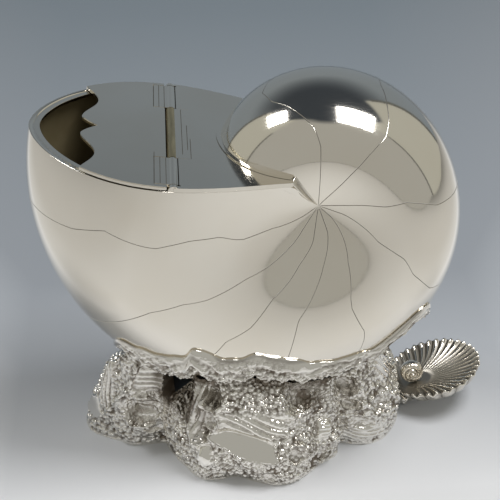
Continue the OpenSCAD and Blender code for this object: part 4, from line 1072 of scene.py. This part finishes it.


# floor, light and camera

# Matt card with painted light: a painted pool of light in front, painted shade falling off to blue grey at
# the back, and a dark strip along its front edge.
def makeCard():
    look = {"frontY": -0.6, "backY": 0.42, "wing": 0.1, "sides": 1.9, "clear": 0.3, "rough": 0.85,
            "tones": [(0.0, "#5b5b57"), (0.186, "#5b5b57"), (0.19, "#c4c2bf"), (0.36, "#cbcac8"),
                      (0.5, "#dadada"), (0.54, "#e6e7ea"), (0.62, "#a9adb3"), (0.68, "#90959c"),
                      (1.0, "#7d8790")]}
    material, add, place = newMaterial("mattCardPaintedLight")
    axes = add("ShaderNodeSeparateXYZ", [place]).outputs
    # the card comes forward on both sides of the picture, but not into its front edge
    wide = add("ShaderNodeMath", [axes["X"]], operation="ABSOLUTE")
    aside = add("ShaderNodeMath", (wide, look["wing"]), operation="SUBTRACT")
    wing = add("ShaderNodeMath", (aside, 0.0), operation="MAXIMUM")
    shift = add("ShaderNodeMath", (wing, look["sides"]), operation="MULTIPLY")
    ahead = add("ShaderNodeMath", (axes["Y"], look["clear"]), operation="ADD")
    room = add("ShaderNodeMath", (ahead, 0.0), operation="MAXIMUM")
    held = add("ShaderNodeMath", (shift, room), operation="MINIMUM")
    depth = add("ShaderNodeMath", (axes["Y"], held), operation="SUBTRACT")
    share = add("ShaderNodeMapRange", {"Value": depth, "From Min": look["frontY"],
                                       "From Max": look["backY"]})
    # this ramp paints light on the card: the lit pool in front and the shade behind it
    tone = add("ShaderNodeValToRGB", [share])
    stops = tone.color_ramp.elements
    for k, (at, code) in enumerate(look["tones"]):
        stop = stops[k] if k < 2 else stops.new(at)
        stop.position = at
        stop.color = hexToLinear(code)
    closeMaterial(add, {"Base Color": tone, "Roughness": look["rough"]})
    return material


def makeFloor():
    look = {"side": 1.5, "front": -0.42, "back": 0.8}     # m, out of the picture on every side
    corners = [(x, y, 0) for y in (look["front"], look["back"]) for x in (-look["side"], look["side"])]
    floor = newPiece("floorCard", corners, [(0, 1, 3, 2)], material=makeCard(), smooth=False)


# pale panels in front, a dark gap at the edge of each, and a grey room behind and above
def makeWorld():
    look = {"front": "#a9a8a2", "card": "#b3b2a8", "edge": "#5b5b57", "back": "#80888e", "roof": "#3b4046",
            "inner": (79, 0), "outer": (130, 6), "line": 1.2,     # degrees: half span, turn to the right
            "cardTop": 0.66, "roofFrom": 0.35, "roofTo": 0.8,     # sines of the angle above level
            "dropFrom": -0.15, "dropTo": 0.2, "drop": 0.24, "topFrom": 0.94, "topTo": 0.98}
    world = bpy.data.worlds.new("studio")
    bpy.context.scene.world = world
    world.use_nodes = True
    world.node_tree.nodes.clear()
    add = partial(addNode, world.node_tree)
    view = add("ShaderNodeTexCoord").outputs["Generated"]
    axes = add("ShaderNodeSeparateXYZ", [view]).outputs
    toward = add("ShaderNodeMath", (axes["Y"], -1.0), operation="MULTIPLY")
    bearing = add("ShaderNodeMath", (axes["X"], toward), operation="ARCTAN2")
    low = add("ShaderNodeMath", (axes["Z"], look["cardTop"]), operation="LESS_THAN")
    high = add("ShaderNodeMapRange", {"Value": axes["Z"], "From Min": look["roofFrom"],
                                      "From Max": look["roofTo"]}, interpolation_type="SMOOTHSTEP")
    tones = {0: high, mixLow: hexToLinear(look["back"]), mixHigh: hexToLinear(look["roof"])}
    far = add("ShaderNodeMix", tones, data_type="RGBA").outputs[mixOut]
    tone = hexToLinear(look["front"])
    half = math.radians(look["line"])
    for place, beyond in (("inner", hexToLinear(look["card"])), ("outer", far)):
        angle, lean = [math.radians(part) for part in look[place]]
        leaned = add("ShaderNodeMath", (bearing, lean), operation="SUBTRACT")
        turned = add("ShaderNodeMath", [leaned], operation="ABSOLUTE")
        past = add("ShaderNodeMapRange", {"Value": turned, "From Min": angle - half,
                                          "From Max": angle + half}, interpolation_type="SMOOTHSTEP")
        line = add("ShaderNodeMath", (turned, angle, half), operation="COMPARE")
        gap = add("ShaderNodeMath", (line, low), operation="MULTIPLY")
        sides = {0: past, mixLow: tone, mixHigh: beyond}
        side = add("ShaderNodeMix", sides, data_type="RGBA").outputs[mixOut]
        tones = {0: gap, mixLow: side, mixHigh: hexToLinear(look["edge"])}
        tone = add("ShaderNodeMix", tones, data_type="RGBA").outputs[mixOut]
    back = add("ShaderNodeMapRange", {"Value": axes["Y"], "From Min": look["dropFrom"],
                                      "From Max": look["dropTo"], "To Max": look["drop"]},
               interpolation_type="SMOOTHSTEP")
    reach = add("ShaderNodeMath", (axes["Z"], back), operation="ADD")     # panels are taller in front
    over = add("ShaderNodeMapRange", {"Value": reach, "From Min": look["topFrom"],
                                      "From Max": look["topTo"]})
    sky = add("ShaderNodeMix", {0: over, mixLow: tone, mixHigh: far}, data_type="RGBA").outputs[mixOut]
    light = add("ShaderNodeBackground", {"Color": sky, "Strength": 1.0})
    add("ShaderNodeOutputWorld", {"Surface": light})


# bearing is measured from +Y towards +X, as seen from above; side and distance are in metres
softboxes = {"rightSoftbox": {"bearing": 95, "height": 66, "side": 0.42},
             "leftSoftbox": {"bearing": 285, "height": 53, "side": 0.26},
             "distance": 0.9, "radiance": 11, "aimZ": 0.1}


def addSoftbox(name):
    look = softboxes[name]
    bearing, height = math.radians(look["bearing"]), math.radians(look["height"])
    flat = math.cos(height)
    away = Vector((math.sin(bearing) * flat, math.cos(bearing) * flat, math.sin(height)))
    lamp = bpy.data.lights.new(name, "AREA")
    lamp.shape = "RECTANGLE"
    lamp.size = look["side"]
    lamp.size_y = look["side"]
    lamp.energy = softboxes["radiance"] * math.pi * look["side"] ** 2
    holder = bpy.data.objects.new(name, lamp)
    bpy.context.scene.collection.objects.link(holder)
    holder.location = Vector((baseX * mm, 0, softboxes["aimZ"])) + away * softboxes["distance"]
    holder.rotation_euler = (-away).to_track_quat("-Z", "Y").to_euler()


def makeCamera():
    view = {"elevation": 33, "bearing": -4, "distance": 0.45, "aimZ": 0.072, "focalPixels": 1220,
            "imagePixels": 500, "drop": 6, "sensor": 36, "clip": 0.01}
    up, turn = math.radians(view["elevation"]), math.radians(view["bearing"])
    back = Vector((math.sin(turn) * math.cos(up), -math.cos(turn) * math.cos(up), math.sin(up)))
    lens = bpy.data.cameras.new("photoCamera")
    lens.sensor_width = view["sensor"]
    lens.lens = view["focalPixels"] / view["imagePixels"] * view["sensor"]
    lens.shift_y = view["drop"] / view["imagePixels"]
    lens.clip_start = view["clip"]
    camera = bpy.data.objects.new("photoCamera", lens)
    bpy.context.scene.collection.objects.link(camera)
    camera.location = Vector((baseX * mm, 0, view["aimZ"])) + back * view["distance"]
    camera.rotation_euler = (-back).to_track_quat("-Z", "Y").to_euler()
    bpy.context.scene.camera = camera


makeFloor()
makeWorld()
addSoftbox("rightSoftbox")
addSoftbox("leftSoftbox")
makeCamera()
bpy.context.scene.view_settings.view_transform = "Standard"
print("stage, light and camera set")
